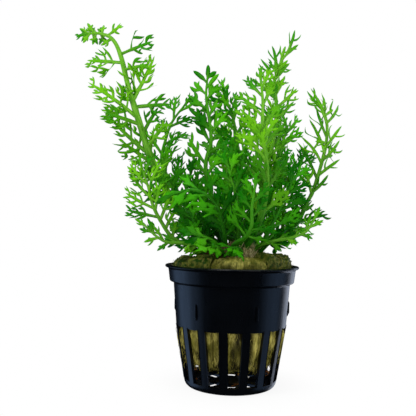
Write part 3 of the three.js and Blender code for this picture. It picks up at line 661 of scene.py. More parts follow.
# Painted shade darkens the grooves between the ribs. The hairs get a random tone from it instead.
groove_shade_share = add_node(tree, "MapRange", {"Value": parted.outputs[0], "From Min": -0.5, "From Max": 0.5,
                                        "To Min": 0.4, "To Max": 0.0})
groove_shaded = add_node(tree, "Mix", {0: groove_shade_share.outputs[0], 6: across.outputs[2], 7: linear("#120b03")},
                  data_type="RGBA")
relief = add_node(tree, "Bump", {"Height": streaks.outputs[0], "Strength": 0.5, "Distance": 0.3 * MM})
tree.links.new(groove_shaded.outputs[2], shader.inputs["Base Color"])
tree.links.new(relief.outputs[0], shader.inputs["Normal"])
shader.inputs["Roughness"].default_value = 0.8

crown = mesh_object("crown_fibre", [crown_skin(), crown_hairs()], ("fibre",), crown_fibre)
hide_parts("crown")
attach(crown, "root")

# Roots: four young roots that have grown out of the wool into the space above the pot's floor.
# Each is a soft brown strand that tapers to its tip, with finer rootlets along it.
roots = {
    "root_left": [(-13.2, -8.5, 7.3), (-15.6, -7, 6.8), (-16.3, -4.5, 5), (-15, -3.6, 3), (-13, -4.6, 2.3)],
    "root_front": [(3, -13.4, 7.3), (4.6, -15, 6.2), (3.4, -15.4, 4.2), (0.5, -14.2, 2.5)],
    "root_right": [(13.2, -7.5, 7.3), (15.2, -6, 6.4), (15.6, -2, 4.4), (13.4, 2, 2.6)],
    "root_back": [(-4, 13.2, 7.3), (-6, 14.8, 6.2), (-3, 15.6, 4), (1, 14.6, 2.5)],
}
root_radius = 0.4
rootlets = 9
rootlet_radius = 0.11


def curve_through(stations, shares):
    """Points of the smooth curve through stations, at shares of its way from 0 to 1."""
    p = np.array(stations, float)
    p = np.vstack([2 * p[0] - p[1], p, 2 * p[-1] - p[-2]])
    at = np.clip(np.asarray(shares, float), 0, 1) * (len(stations) - 1)
    k = np.minimum(at.astype(int), len(stations) - 2)
    t = (at - k)[:, None]
    before, start, end, after = p[k], p[k + 1], p[k + 2], p[k + 3]
    return start + 0.5 * t * (end - before + t * (2 * before - 5 * start + 4 * end - after
                                                  + t * (3 * (start - end) + after - before)))


def root_parts(stations, seed):
    """A root's tapering strand and the rootlets along it."""
    rng = np.random.default_rng(seed)
    shares = np.linspace(0, 1, 26)
    path = curve_through(stations, shares)
    radii = root_radius * (1 - 0.6 * shares) * (1 + 0.08 * np.sin(40 * shares))
    main, faces = tubes(path[None], radii[None], 8)
    starts = curve_through(stations, rng.uniform(0.15, 0.9, rootlets))
    runs = rng.normal(size=(rootlets, 3)) * (1, 1, 0.5)
    runs /= np.linalg.norm(runs, axis=1, keepdims=True)
    steps = np.linspace(0, 1, 6)[None, :, None]
    paths = starts[:, None] + runs[:, None] * rng.uniform(0.8, 2.0, (rootlets, 1, 1)) * steps
    paths = paths + rng.normal(size=(rootlets, 1, 3)) * 0.3 * steps ** 2
    fine_radii = np.full((rootlets, 1), rootlet_radius) * np.linspace(1, 0.4, 6)
    fine, fine_faces = tubes(paths, fine_radii, 4)
    return [(main, faces), (fine, fine_faces)]


# Root bark, grown thin over a pale core: chestnut, darker in rings, with the low gloss of a wet root.
root_bark, tree, shader, place = new_finish("root_bark_wet")
rings = add_node(tree, "TexNoise", {"Vector": place, "Scale": per_metre(1.3), "Detail": 4.0})
ring_share = add_node(tree, "MapRange", {"Value": rings.outputs[0], "From Min": 0.35, "From Max": 0.65})
tone = add_node(tree, "Mix", {0: ring_share.outputs[0], 6: linear("#4a2408"), 7: linear("#a8691f")},
                data_type="RGBA")
relief = add_node(tree, "Bump", {"Height": rings.outputs[0], "Strength": 0.4, "Distance": 0.1 * MM})
tree.links.new(tone.outputs[2], shader.inputs["Base Color"])
tree.links.new(relief.outputs[0], shader.inputs["Normal"])
shader.inputs["Roughness"].default_value = 0.45

for seed, (name, stations) in enumerate(roots.items()):
    root = mesh_object(name + "_strand", root_parts(stations, seed), (), root_bark)
    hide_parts(name)
    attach(root, "root")

# Fronds: twenty-four living leaves, each grown in one piece: a fleshy ribbed stem with leaflets on
# either side, which fork again and again into narrow pointed lobes. All spring from the crown.
blade_thickness = 0.36
margin_width = 0.45
grain_length = 7          # the veins' pattern is so much longer along a leaflet than across it
grain_width = 0.9
stem_tip_radius = 0.35
stem_sides = 14
fork_spacing = 11         # one pair of main lobes for so much of a leaflet's length,
most_forks = 3            # but never more than these,
naked_stalk = 0.2         # the first and the last of them at these shares of the length
last_fork = 0.7
widest = 18               # a longer leaflet has no longer side lobes than one of this length

# A leaflet is (its place along the stem, side, angle in degrees, length). Those in "leaflets" are in
# the frond's solid too, and "extra" ones fill it out. "tip" is the length of the one that ends the stem.
# "radius" is the stem's at its foot, and "faces" is the way the blade faces.
# "finger" is a lobe's half width, "forks" how richly it forks (1 where not given) and "shade" how much
# painted shade darkens it (0), each at the frond's foot and its tip. "spread" is how far lobes splay (1).
# "mates" is how many smaller leaflets grow beside each one (0), and up to which place on the stem.


def ladder(count, along, angles, lengths):
    """Leaflets set alternately up a stem, with their angle and length changing evenly."""
    return [
        (along[0] + (along[1] - along[0]) * s, 1 if i % 2 else -1,
         angles[0] + (angles[1] - angles[0]) * s, lengths[0] + (lengths[1] - lengths[0]) * s)
        for i, s in enumerate(np.linspace(0, 1, count))
    ]


foot_leaflets = [(0.05, 1, 65, 9), (0.08, -1, 65, 9), (0.11, 1, 60, 9)]

fronds = {
    "frond_tall_left": {
        "stem": [(-4.5, 0, 50), (-13, -3, 61), (-24, -4, 73), (-32, -4, 87), (-36, -5, 97),
                 (-40, -6, 109), (-44, -6, 121), (-48, -5, 135), (-52, -4, 142),
                 (-57.5, -3, 144.5), (-62.5, -3, 144.5)],
        "radius": 1.8, "faces": (-0.2, -1, 0), "tip": 7, "finger": (0.68, 0.48),
        "forks": (0.8, 0.8), "spread": 1.35, "shade": (0.5, 0.08), "mates": (2, 0.3),
        "green": "fresh",
        "leaflets": [(0.22, -1, 60, 13), (0.26, 1, 38, 15), (0.32, 1, 36, 17), (0.36, 1, 34, 24),
                     (0.39, -1, 60, 14), (0.44, -1, 45, 13), (0.47, 1, 60, 15), (0.49, 1, 32, 27),
                     (0.52, 1, 10, 13), (0.53, -1, 105, 15), (0.55, -1, 48, 21),
                     (0.65, -1, 105, 12), (0.67, 1, 65, 19), (0.7, -1, 98, 15), (0.84, -1, 135, 8),
                     (0.88, -1, 70, 5), (0.93, 1, 75, 5), (0.95, -1, 60, 6)],
        "extra": [(0.8, 1, 70, 6), (0.86, 1, 62, 6), (0.89, 1, 115, 5), (0.91, -1, 95, 5),
                  (0.93, -1, 50, 6), (0.96, 1, 105, 5), (0.98, 1, 45, 5), (0.98, -1, 75, 5),
                  (0.99, -1, 30, 6)],
    },
    "frond_tall_right": {
        "stem": [(4.5, 0, 50), (8, 0, 62), (11, 1, 75), (14, 2, 88), (17, 4, 103), (18, 5, 116),
                 (17, 5, 126), (19, 5, 134), (24, 5, 142)],
        "radius": 1.15, "faces": (0.3, -1, 0), "tip": 7, "finger": (0.56, 0.42),
        "forks": (1.1, 0.0), "shade": (0.4, 0), "mates": (2, 0.82), "green": "fresh",
        "leaflets": [(0.24, -1, 42, 14), (0.3, 1, 42, 14), (0.36, -1, 38, 14), (0.42, 1, 38, 14),
                     (0.47, -1, 36, 13), (0.52, 1, 38, 13), (0.56, -1, 36, 13), (0.62, -1, 50, 13),
                     (0.67, 1, 45, 12), (0.72, -1, 50, 11), (0.76, 1, 36, 11), (0.8, -1, 30, 10),
                     (0.83, 1, 26, 11), (0.88, 1, 14, 11), (0.93, -1, 9, 9)],
        "extra": [(0.95, 1, 8, 11)],
    },
    "frond_right_front": {
        "stem": [(2, -4, 50), (6, -9, 57), (10, -14, 65), (12, -16, 72), (13, -17, 82),
                 (12, -17, 94), (11, -16, 103), (11, -15, 113), (10, -14, 123)],
        "radius": 1.4, "faces": (0.1, -1, 0), "tip": 7, "finger": (0.7, 0.5), "shade": (0.65, 0.0),
        "mates": (2, 0.72), "green": "fresh",
        "leaflets": [(0.3, 1, 48, 12), (0.34, -1, 42, 12), (0.46, -1, 32, 18), (0.5, 1, 60, 24),
                     (0.57, 1, 30, 15), (0.64, -1, 38, 15), (0.71, 1, 38, 14), (0.75, -1, 40, 13),
                     (0.8, 1, 42, 13), (0.86, -1, 30, 12), (0.9, 1, 38, 11), (0.94, -1, 28, 9)],
    },
    "frond_arch_right": {
        "stem": [(9, 0, 51), (14, -2, 57), (20, -4, 61.5), (26, -6, 66), (29, -7, 73),
                 (32, -7, 79), (35, -7, 89), (37, -7, 98), (37.5, -6, 106), (36, -6, 112),
                 (33.5, -6, 117)],
        "radius": 1.05, "faces": (0.3, -1, 0.1), "tip": 6.9, "finger": (0.55, 0.3),
        "forks": (0.55, -0.05), "spread": 1.35, "shade": (0.9, 0), "mates": (1, 0.72),
        "green": "fresh",
        "leaflets": [(0.2, 1, 45, 13), (0.29, 1, 42, 12), (0.31, -1, 40, 12), (0.37, -1, 55, 6),
                     (0.48, 1, 40, 12), (0.55, 1, 38, 14), (0.61, 1, 36, 14), (0.64, -1, 72, 8),
                     (0.67, 1, 34, 14), (0.69, -1, 92, 8), (0.73, 1, 34, 14), (0.79, 1, 32, 16),
                     (0.81, -1, 54, 13), (0.88, -1, 40, 8), (0.88, 1, 30, 11), (0.93, 1, 26, 9)],
        "extra": [(0.86, -1, 70, 6)],
    },
    "frond_middle": {
        "stem": [(0, 0, 50), (-4, 2, 60), (-9, 5, 76), (-12, 6, 90), (-10, 8, 101), (-11, 8, 111),
                 (-12.5, 8, 121), (-12, 8, 130)],
        "radius": 1.15, "faces": (-0.1, -1, 0), "tip": 7.2, "finger": (0.72, 0.98),
        "forks": (1.0, 0.05), "mates": (1, 0.75), "green": "grown",
        "leaflets": [(0.16, 1, 48, 11), (0.24, -1, 45, 12), (0.31, 1, 45, 13), (0.38, -1, 42, 13),
                     (0.44, 1, 45, 14), (0.5, -1, 40, 13), (0.56, 1, 42, 14), (0.62, -1, 38, 13),
                     (0.67, 1, 40, 13), (0.73, -1, 38, 10), (0.77, 1, 45, 12), (0.83, -1, 42, 9),
                     (0.87, 1, 50, 11), (0.91, -1, 48, 8), (0.95, 1, 48, 8)],
        "extra": [(0.98, -1, 45, 5)],
    },
    "frond_left": {
        "stem": [(-9, 0, 50), (-16, -4, 55), (-24, -7, 59), (-29, -9, 66), (-32, -10, 72),
                 (-34, -10, 79), (-37, -9, 87)],
        "radius": 1.0, "faces": (-0.3, -1, 0.1), "tip": 7, "finger": (0.5, 0.42), "spread": 1.15,
        "shade": (0.15, -0.1), "green": "fresh",
        "leaflets": [(0.5, -1, 52, 12), (0.53, 1, 48, 13), (0.6, -1, 44, 13), (0.63, 1, 44, 13),
                     (0.7, -1, 42, 13), (0.74, 1, 40, 13), (0.81, -1, 38, 12), (0.86, 1, 34, 11),
                     (0.93, -1, 30, 9)],
        "extra": [(0.34, -1, 62, 7), (0.42, -1, 55, 9)],
    },
    "frond_low_left": {
        "stem": [(-7, -4, 50), (-11, -8, 55), (-19, -12, 57), (-25, -14, 57.2), (-29.5, -15, 59.5),
                 (-33.5, -15, 63)],
        "radius": 0.85, "faces": (-0.2, -0.8, 0.6), "tip": 6.9, "finger": (0.46, 0.42),
        "forks": (0.8, 0.6), "green": "fresh",
        "leaflets": [(0.34, 1, 60, 5), (0.5, -1, 42, 7), (0.6, 1, 50, 6), (0.68, -1, 40, 8),
                     (0.76, 1, 45, 6), (0.84, -1, 38, 7), (0.9, 1, 30, 5)],
        "extra": [(0.16, 1, 40, 6), (0.22, -1, 35, 6), (0.28, 1, 40, 6)],
    },
    "frond_low_right": {
        "stem": [(6.5, -4, 50), (10, -8, 56), (16, -11, 58.5), (23, -12.5, 60), (28.5, -13, 62.5),
                 (31.5, -13, 67)],
        "radius": 0.85, "faces": (0.2, -0.8, 0.6), "tip": 6.9, "finger": (0.46, 0.42),
        "forks": (0.6, 0.4), "shade": (0.2, 0), "green": "fresh",
        "leaflets": [(0.36, -1, 45, 6), (0.46, 1, 40, 6), (0.54, -1, 45, 5), (0.64, 1, 42, 6),
                     (0.72, -1, 40, 5), (0.8, 1, 40, 7), (0.88, -1, 35, 6)],
    },
    "frond_front_left": {
        "stem": [(-2.5, -4, 50), (-3, -10, 60), (-5, -15, 69), (-9, -19, 75), (-16, -21, 77.5),
                 (-24, -22, 75)],
        "radius": 1.0, "faces": (0, -0.9, 0.45), "tip": 7.2, "finger": (0.95, 0.85),
        "forks": (0.5, 0.35), "mates": (1, 0.5), "green": "deep",
        "leaflets": ladder(9, (0.2, 0.9), (48, 30), (14, 9)),
    },
    "frond_front_arch": {
        "stem": [(0, -8, 50), (0.5, -14, 56.5), (5, -20, 60), (7, -24, 64), (7, -26, 71),
                 (8, -26, 78)],
        "radius": 1.0, "faces": (0, -1, 0.2), "tip": 7, "finger": (0.6, 0.5), "shade": (0.35, 0.1),
        "mates": (1, 0.5), "green": "grown",
        "leaflets": [(0.42, 1, 85, 12), (0.48, 1, 110, 8), (0.55, -1, 55, 9), (0.64, 1, 50, 10),
                     (0.7, -1, 50, 10), (0.78, 1, 45, 9), (0.85, -1, 42, 9), (0.91, 1, 40, 8)],
    },
    "frond_broad_left": {
        "stem": [(-5, -8, 50), (-5, -14, 55.5), (-7, -18, 58), (-10, -20.5, 59.5),
                 (-13.5, -22, 60.5)],
        "radius": 0.85, "faces": (-0.1, -0.75, 0.65), "tip": 7.8, "finger": (1.2, 1.1),
        "forks": (0.8, 0.8), "shade": (0.25, 0.2), "green": "grown",
        "leaflets": [(0.6, -1, 48, 7), (0.7, 1, 42, 7), (0.82, -1, 40, 7)],
        "extra": [(0.5, 1, 55, 6), (0.86, 1, 36, 7), (0.93, -1, 30, 6)],
    },
    "frond_broad_front": {
        "stem": [(-2.5, -11, 50), (-3.5, -15.5, 54), (-5.5, -19.5, 56), (-8, -22.5, 56)],
        "radius": 0.8, "faces": (0, -0.6, 0.8), "tip": 7.8, "finger": (1.0, 0.9),
        "shade": (0.25, 0.2), "green": "grown",
        "leaflets": [(0.55, -1, 48, 8), (0.66, 1, 48, 7)],
        "extra": [(0.76, -1, 44, 6), (0.84, 1, 40, 6)],
    },
    "frond_young_front": {
        "stem": [(4, -8, 50), (3.5, -13, 54.5), (1, -17.5, 55.8), (-3, -20.5, 55)],
        "radius": 0.8, "faces": (0.2, -0.6, 0.8), "tip": 7.6, "finger": (0.9, 0.8),
        "mates": (1, 0.9), "green": "deep",
        "leaflets": [(0.5, -1, 50, 7), (0.6, 1, 50, 8), (0.78, -1, 45, 6)],
    },
    "frond_mid_left": {
        "stem": [(-2.5, 4, 50), (-5, 5, 58), (-9.5, 4, 66), (-13.5, 3, 74), (-17, 2, 81),
                 (-19, 1, 86)],
        "radius": 1.0, "faces": (-0.2, -1, 0.2), "tip": 7.3, "finger": (0.7, 0.6),
        "shade": (-0.15, 0.0), "mates": (1, 0.8), "green": "deep",
        "leaflets": ladder(9, (0.16, 0.92), (44, 28), (13, 8)),
    },
    "frond_back_left": {
        "stem": [(-7, 4, 50), (-16, 8, 66), (-26, 12, 80), (-32, 14, 92), (-31, 15, 102),
                 (-28, 15, 111), (-22, 14, 119)],
        "radius": 1.15, "faces": (-0.2, -1, 0), "tip": 7, "finger": (0.55, 0.46), "spread": 1.15,
        "mates": (1, 0.5), "green": "grown",
        "leaflets": ladder(11, (0.2, 0.93), (46, 32), (17, 10)),
        "extra": foot_leaflets,
    },
    "frond_centre_back": {
        "stem": [(2, 4, 50), (1, 8, 62), (1, 11, 76), (2, 12, 91), (1, 14, 105), (-2, 14, 117),
                 (-6, 13, 123)],
        "radius": 1.15, "faces": (0.1, -1, 0.1), "tip": 7.1, "finger": (0.65, 0.52),
        "mates": (2, 0.95), "green": "grown",
        "leaflets": ladder(13, (0.13, 0.94), (46, 32), (16, 9)),
        "extra": foot_leaflets,
    },
    "frond_right_middle": {
        "stem": [(6.5, 4, 50), (10, 7, 63), (14, 9, 76), (17.5, 10, 88), (20, 10, 97),
                 (22, 9, 104), (23.5, 9, 109)],
        "radius": 1.1, "faces": (0.2, -1, 0.1), "tip": 7, "finger": (0.6, 0.46),
        "shade": (-0.15, -0.1), "mates": (2, 0.75), "green": "grown",
        "leaflets": ladder(12, (0.14, 0.93), (44, 28), (15, 9)),
        "extra": foot_leaflets,
    },
    "frond_back_right": {
        "stem": [(4.5, 8, 50), (12, 13, 61), (20.5, 18, 73), (27.5, 21, 85), (32, 22, 97)],
        "radius": 1.1, "faces": (0.55, -0.8, 0.1), "tip": 7, "finger": (0.65, 0.5),
        "shade": (-0.2, -0.15), "mates": (2, 0.92), "green": "deep",
        "leaflets": ladder(9, (0.2, 0.92), (46, 32), (17, 9)),
        "extra": foot_leaflets,
    },
    "frond_back": {
        "stem": [(0, 8, 50), (-1, 15, 64), (-2, 23, 79), (-3, 30, 94), (-4, 36, 106),
                 (-5, 42, 112)],
        "radius": 1.2, "faces": (0.05, 0.8, 0.6), "tip": 7, "finger": (0.6, 0.46),
        "mates": (2, 0.92), "green": "fresh",
        "leaflets": ladder(9, (0.24, 0.93), (46, 32), (18, 10)),
    },
    "frond_back_low_left": {
        "stem": [(-4.5, 8, 50), (-10, 14, 58), (-18, 21, 66), (-26, 27, 75), (-32, 32, 80)],
        "radius": 1.0, "faces": (-0.5, 0.5, 0.8), "tip": 7, "finger": (0.55, 0.5), "green": "grown",
        "leaflets": ladder(7, (0.26, 0.9), (46, 32), (16, 9)),
    },
    "frond_back_low_right": {
        "stem": [(9, 4, 51), (14, 9, 58), (21, 16, 63), (27, 23, 66), (31, 29, 68)],
        "radius": 1.0, "faces": (0.5, 0.4, 0.8), "tip": 7, "finger": (0.55, 0.5), "green": "grown",
        "leaflets": ladder(7, (0.26, 0.9), (46, 32), (15, 9)),
    },
    "frond_right_low": {
        "stem": [(9.5, -4.5, 50), (13, -8, 59), (17, -10.5, 68), (21, -12, 77), (24, -12.5, 85)],
        "radius": 0.95, "faces": (0.2, -1, 0.1), "tip": 7.1, "finger": (0.65, 0.52),
        "green": "deep",
        "leaflets": ladder(9, (0.2, 0.93), (46, 30), (14, 9)),
    },
    "frond_left_inner": {
        "stem": [(-10, -3.5, 50), (-12.5, -6, 57), (-15, -8.5, 64.5), (-17.5, -10, 72),
                 (-19.5, -11, 78)],
        "radius": 0.95, "faces": (-0.2, -1, 0.1), "tip": 7.2, "finger": (0.7, 0.6),
        "shade": (-0.2, 0.0), "mates": (1, 0.8), "green": "deep",
        "leaflets": ladder(7, (0.2, 0.93), (44, 28), (12, 8)),
        "extra": [(0.3, 1, 78, 13), (0.42, 1, 70, 12)],
    },
    "frond_centre_front": {
        "stem": [(2.6, -8.2, 50), (2.5, -10, 60), (2, -12.5, 69), (0.5, -14.5, 78),
                 (-2, -15.5, 87)],
        "radius": 0.95, "faces": (0, -1, 0.15), "tip": 7.2, "finger": (0.7, 0.58),
        "shade": (0.2, 0.0), "mates": (1, 0.9), "green": "grown",
        "leaflets": ladder(9, (0.16, 0.93), (46, 30), (13, 9)),
    },
}

# Where a leaflet would run into a neighbour it is turned about its stem or stays shorter:
# these are the turns in degrees and the shares of its length that its solid may have.
ways = [(0, 1), (25, 1), (-25, 1), (50, 1), (-50, 1),
        (0, 0.75), (35, 0.75), (-35, 0.75), (70, 0.75), (-70, 0.75),
        (0, 0.55), (45, 0.55), (-45, 0.55), (90, 0.55), (-90, 0.55)]
match_within = 0.03       # how near a leaflet's tip lies to the corner that its solid has there


def unit(vector):
    """The vector at length 1."""
    return vector / np.linalg.norm(vector)


def stem_frame(frond, along):
    """The way the stem runs at a place on it, the way its blade faces, and the blade's left."""
    ahead, behind = curve_through(frond["stem"], [min(1, along + 0.01), max(0, along - 0.01)])
    runs = unit(ahead - behind)
    faces = np.array(frond["faces"], float)
    faces = unit(faces - faces @ runs * runs)
    return runs, faces, np.cross(faces, runs)


def stem_radius(frond, along):
    """The stem's radius at a place on it."""
    return stem_tip_radius + (frond["radius"] - stem_tip_radius) * (1 - along) ** 0.8


def crown_shade(points, frond, along):
    """How much painted shade a point gets: 1 at the crown's top, where the fronds crowd, and low down, to 0
    up and away from it, plus the frond's own shade.
    """
    near = 1.15 - np.linalg.norm((points - (-1, 6, crown_high - 7)) * (0.8, 1.25, 0.9), axis=1) / 30
    shade = np.interp(along, (0, 1), frond.get("shade", (0, 0)))
    return np.clip(shade + np.maximum(near, (95 - points[:, 2]) / 110), 0, 1)


def leaflet_plan(length, frond, seed, along):
    """A leaflet laid flat: where its main side lobes fork off and how far they reach, and its bend."""
    width, forks = (np.interp(along, (0, 1), frond.get(key, (1, 1))) for key in ("finger", "forks"))
    spread = frond.get("spread", 1)
    pairs = min(max(math.floor(length / fork_spacing + 0.5), 1), most_forks)
    lobes = []
    for j in range(pairs):
        share = j / (pairs - 1) if pairs > 1 else 0.3
        for side in (1, -1):
            chance = uneven(seed + 3 * j + (0.5 if side > 0 else 0))
            at = length * (naked_stalk + (last_fork - naked_stalk) * share)
            reach = min(length, widest) * 0.52 * (1 - 0.55 * share) * (0.8 + 0.4 * chance)
            angle = math.radians(36 - 9 * share + 12 * (chance - 0.5)) * (0.6 + 0.4 * forks)
            lobes.append((at, side, reach * (1.3 - 0.3 * forks), angle * spread))
    return {"length": length, "width": width, "forks": forks, "spread": spread, "lobes": lobes,
            "seed": seed, "droop": 0.1 + 0.25 * uneven(seed + 0.1),
            "cup": 0.5 * (uneven(seed + 0.2) - 0.4), "sweep": 0.35 * (uneven(seed + 0.3) - 0.5)}


def set_on_stem(flat, plan, stem_frame_here, at, side, angle, turn):
    """Moves points of the flat leaflet to where they are on the stem, bent and swept."""
    runs, faces, left = stem_frame_here
    across = left * side * math.cos(turn) + faces * math.sin(turn)
    out = runs * math.cos(angle) + across * math.sin(angle)
    up = unit(faces - faces @ out * out)
    aside = np.cross(up, out)
    x, y, z = flat.T
    bend = (plan["cup"] * y * y - plan["droop"] * x * x) / plan["length"]
    sway = plan["sweep"] * side * x * x / plan["length"]
    return at + np.outer(x, out) + np.outer(y - sway, aside) + np.outer(z + bend, up)


def as_in_solid(frond, corners, leaflet, seed):
    """The plan and turn of the solid's leaflet, known by the corner at its tip, or None and None."""
    along, side, angle, length = leaflet
    points = np.array(frond["stem"], float)
    shares = np.linspace(0, 1, len(points))
    at = np.array([np.interp(along, shares, points[:, k]) for k in range(3)])
    for turn, share in ways:
        plan = leaflet_plan(length * share, frond, seed, along)
        lean = math.radians(turn + 50 * (uneven(seed + 0.4) - 0.5))
        flat_tip = np.array([[plan["length"], 0, 0]])
        here = stem_frame(frond, along)
        tip = set_on_stem(flat_tip, plan, here, at, side, math.radians(angle), lean)
        if np.min(np.linalg.norm(corners - tip, axis=1)) < match_within:
            return plan, lean
    return None, None


def finger(foot, tip, bow, width, forks):
    """A pointed lobe laid flat: its centre line, and its half width and half thickness along it.

    A broad or well forked one is a lance, widest in its middle. A narrow bare one is a tapering strap.
    """
    foot, tip = np.array(foot, float), np.array(tip, float)
    length = np.linalg.norm(tip - foot)
    shares = np.linspace(0, 1, 7 + int(length / 1.8))
    aside = np.array([foot[1] - tip[1], tip[0] - foot[0]]) / length
    centre = foot + np.outer(shares, tip - foot) + np.outer(4 * shares * (1 - shares) * bow, aside)
    at = [0, 0.2, 0.5, 0.8, 1]
    lance = np.interp(shares, at, [0.72, 0.85, 1, 0.6 + 0.2 * min(1, width / 1.6), 0])
    strap = np.interp(shares, at, [1.15, 1, 0.75, 0.42, 0])
    strap_share = max(0, 1 - forks) * max(0, 1 - width)
    widths = width * (lance + strap_share * (strap - lance))
    heights = blade_thickness / 2 * np.interp(shares, [0, 0.6, 1], [1.1, 0.9, 0.3])
    return centre, widths, heights


def branch(foot, tip, side, width, forks, seed, fingers):
    """Adds a curved lobe, and the shorter ones that fork off it to one side and then the other."""
    foot, tip = np.array(foot, float), np.array(tip, float)
    length = np.linalg.norm(tip - foot)
    bow = side * (0.03 + 0.13 * uneven(seed + 0.6)) * length
    centre, widths, heights = finger(foot, tip, bow, width, forks)
    fingers.append((centre, widths, heights))
    heading = math.atan2(tip[1] - foot[1], tip[0] - foot[0])
    count = max(0, min(2, round(forks * (length - 2.2) / (2.6 + 1.6 * width))))
    for k in range(count):
        chance = uneven(seed + 1.7 * k)
        share = 0.25 + 0.45 * (k + 0.3 + 0.4 * chance) / count
        start = [np.interp(share, np.linspace(0, 1, len(centre)), centre[:, axis]) for axis in (0, 1)]
        to = side if k % 2 else -side
        turned = heading + to * math.radians(30 + 16 * uneven(seed + 3.1 * k)) + 0.3 * side * (0.5 - share)
        reach = (1 - share) * length * (0.62 + 0.36 * uneven(seed + 2.3 * k + 0.7)) + 0.3 + 0.5 * width
        end = (start[0] + reach * math.cos(turned), start[1] + reach * math.sin(turned))
        branch(start, end, to, width * 0.93, forks, seed + 5.1 * k + 2.9, fingers)


def leaflet_fingers(plan, stalk):
    """All the lobes of a leaflet laid flat, its midrib first."""
    length, seed, width, forks = (plan[key] for key in ("length", "seed", "width", "forks"))
    shares = np.linspace(-0.02, 1, 8 + int(length / 1.8))
    centre = np.column_stack([shares * length, np.zeros(len(shares))])
    wing = 0.4 + 0.7 * width
    stem = min(stalk, wing)
    widths = np.interp(shares, [0, 0.06, 0.2, 0.4, 0.75, 0.92, 1],
                       [stalk, stem, stem, wing, 0.9 * wing, 0.5 * wing, 0])
    heights = np.interp(shares, [0, 0.25, 0.5, 1],
                        [stalk, 0.75 * stalk, blade_thickness * 0.6, blade_thickness * 0.25])
    fingers = [(centre, widths, heights)]
    step = (1.2 + 2.5 * width + 0.02 * length) / (0.25 + 0.75 * forks)
    offset = 0.3 * step
    for to in (1, -1):
        main = []
        for at, side, reach, angle in plan["lobes"]:
            if side == to and 0.85 * step < (at - main[-1][0] if main else 1.1 * length):
                main.append((at, reach, angle))
        for at, reach, angle in main:
            foot = (at + (offset if to < 0 else 0), 0)
            end = (at + reach * math.cos(angle), to * reach * math.sin(angle))
            branch(foot, end, to, width, forks, seed + at + to, fingers)
        between = []
        edges = [at for at, _, _ in main] + [length]
        for low, high in zip(edges[:-1], edges[1:]):
            more = max(0, round((high - low) / step) - 1)
            between += list(np.linspace(low, high, more + 2)[1:-1] + (offset if to < 0 else 0))
        for k, at in enumerate(at for at in between if at < 0.9 * length):
            chance = uneven(seed + 0.9 * k + 0.35 + 0.1 * to)
            reach = 0.54 * min(length, widest) * (1 - 0.85 * at / length) + 0.9 + width
            reach *= 0.75 + 0.45 * chance
            angle = math.radians(36 - 10 * at / length + 12 * (chance - 0.5)) * (0.6 + 0.4 * forks)
            angle *= plan["spread"]
            end = (at + reach * math.cos(angle), to * reach * math.sin(angle))
            branch((at, 0), end, to, width, forks, seed + 1.3 * k + 0.4 * to, fingers)
    return fingers


def lies_within(points, outline):
    """Which of the flat points lie inside an outline."""
    ahead = np.roll(outline, -1, axis=0)
    x, y = points[:, :1], points[:, 1:]
    level = outline[:, 1] != ahead[:, 1]
    (ax, ay), (bx, by) = outline[level].T, ahead[level].T
    crossed = ((ay > y) != (by > y)) & (x < ax + (y - ay) / (by - ay) * (bx - ax))
    return crossed.sum(axis=1) % 2 == 1


def lobe_outlines(fingers):
    """The points of all lobes, each lobe's outline and its ridge's edges, and heights on the ridges."""
    flat, outlines, ridges, heights_at = [], [], [], {}
    for centre, widths, heights in fingers:
        runs = np.gradient(centre, axis=0)
        runs /= np.linalg.norm(runs, axis=1, keepdims=True)
        aside = np.column_stack([-runs[:, 1], runs[:, 0]]) * widths[:, None]
        n = len(centre) - 1
        first = len(flat)
        ridge = first + 2 * n
        flat += [*(centre + aside)[:-1], *(centre - aside)[:-1], *centre]
        outlines.append([*range(first, first + n), ridge + n, *range(ridge - 1, first + n - 1, -1)])
        ridges += [(ridge + k, ridge + k + 1) for k in range(n)]
        heights_at.update({ridge + k: height for k, height in enumerate(heights)})
    return flat, outlines, ridges, heights_at


def distance_to(edges, point):
    """How far a flat point is from the nearest of the edges, given as their starts and runs."""
    start, run = edges
    share = np.clip(np.sum((point - start) * run, axis=1) / np.sum(run * run, axis=1), 0, 1)
    return np.min(np.linalg.norm(start + run * share[:, None] - point, axis=1))


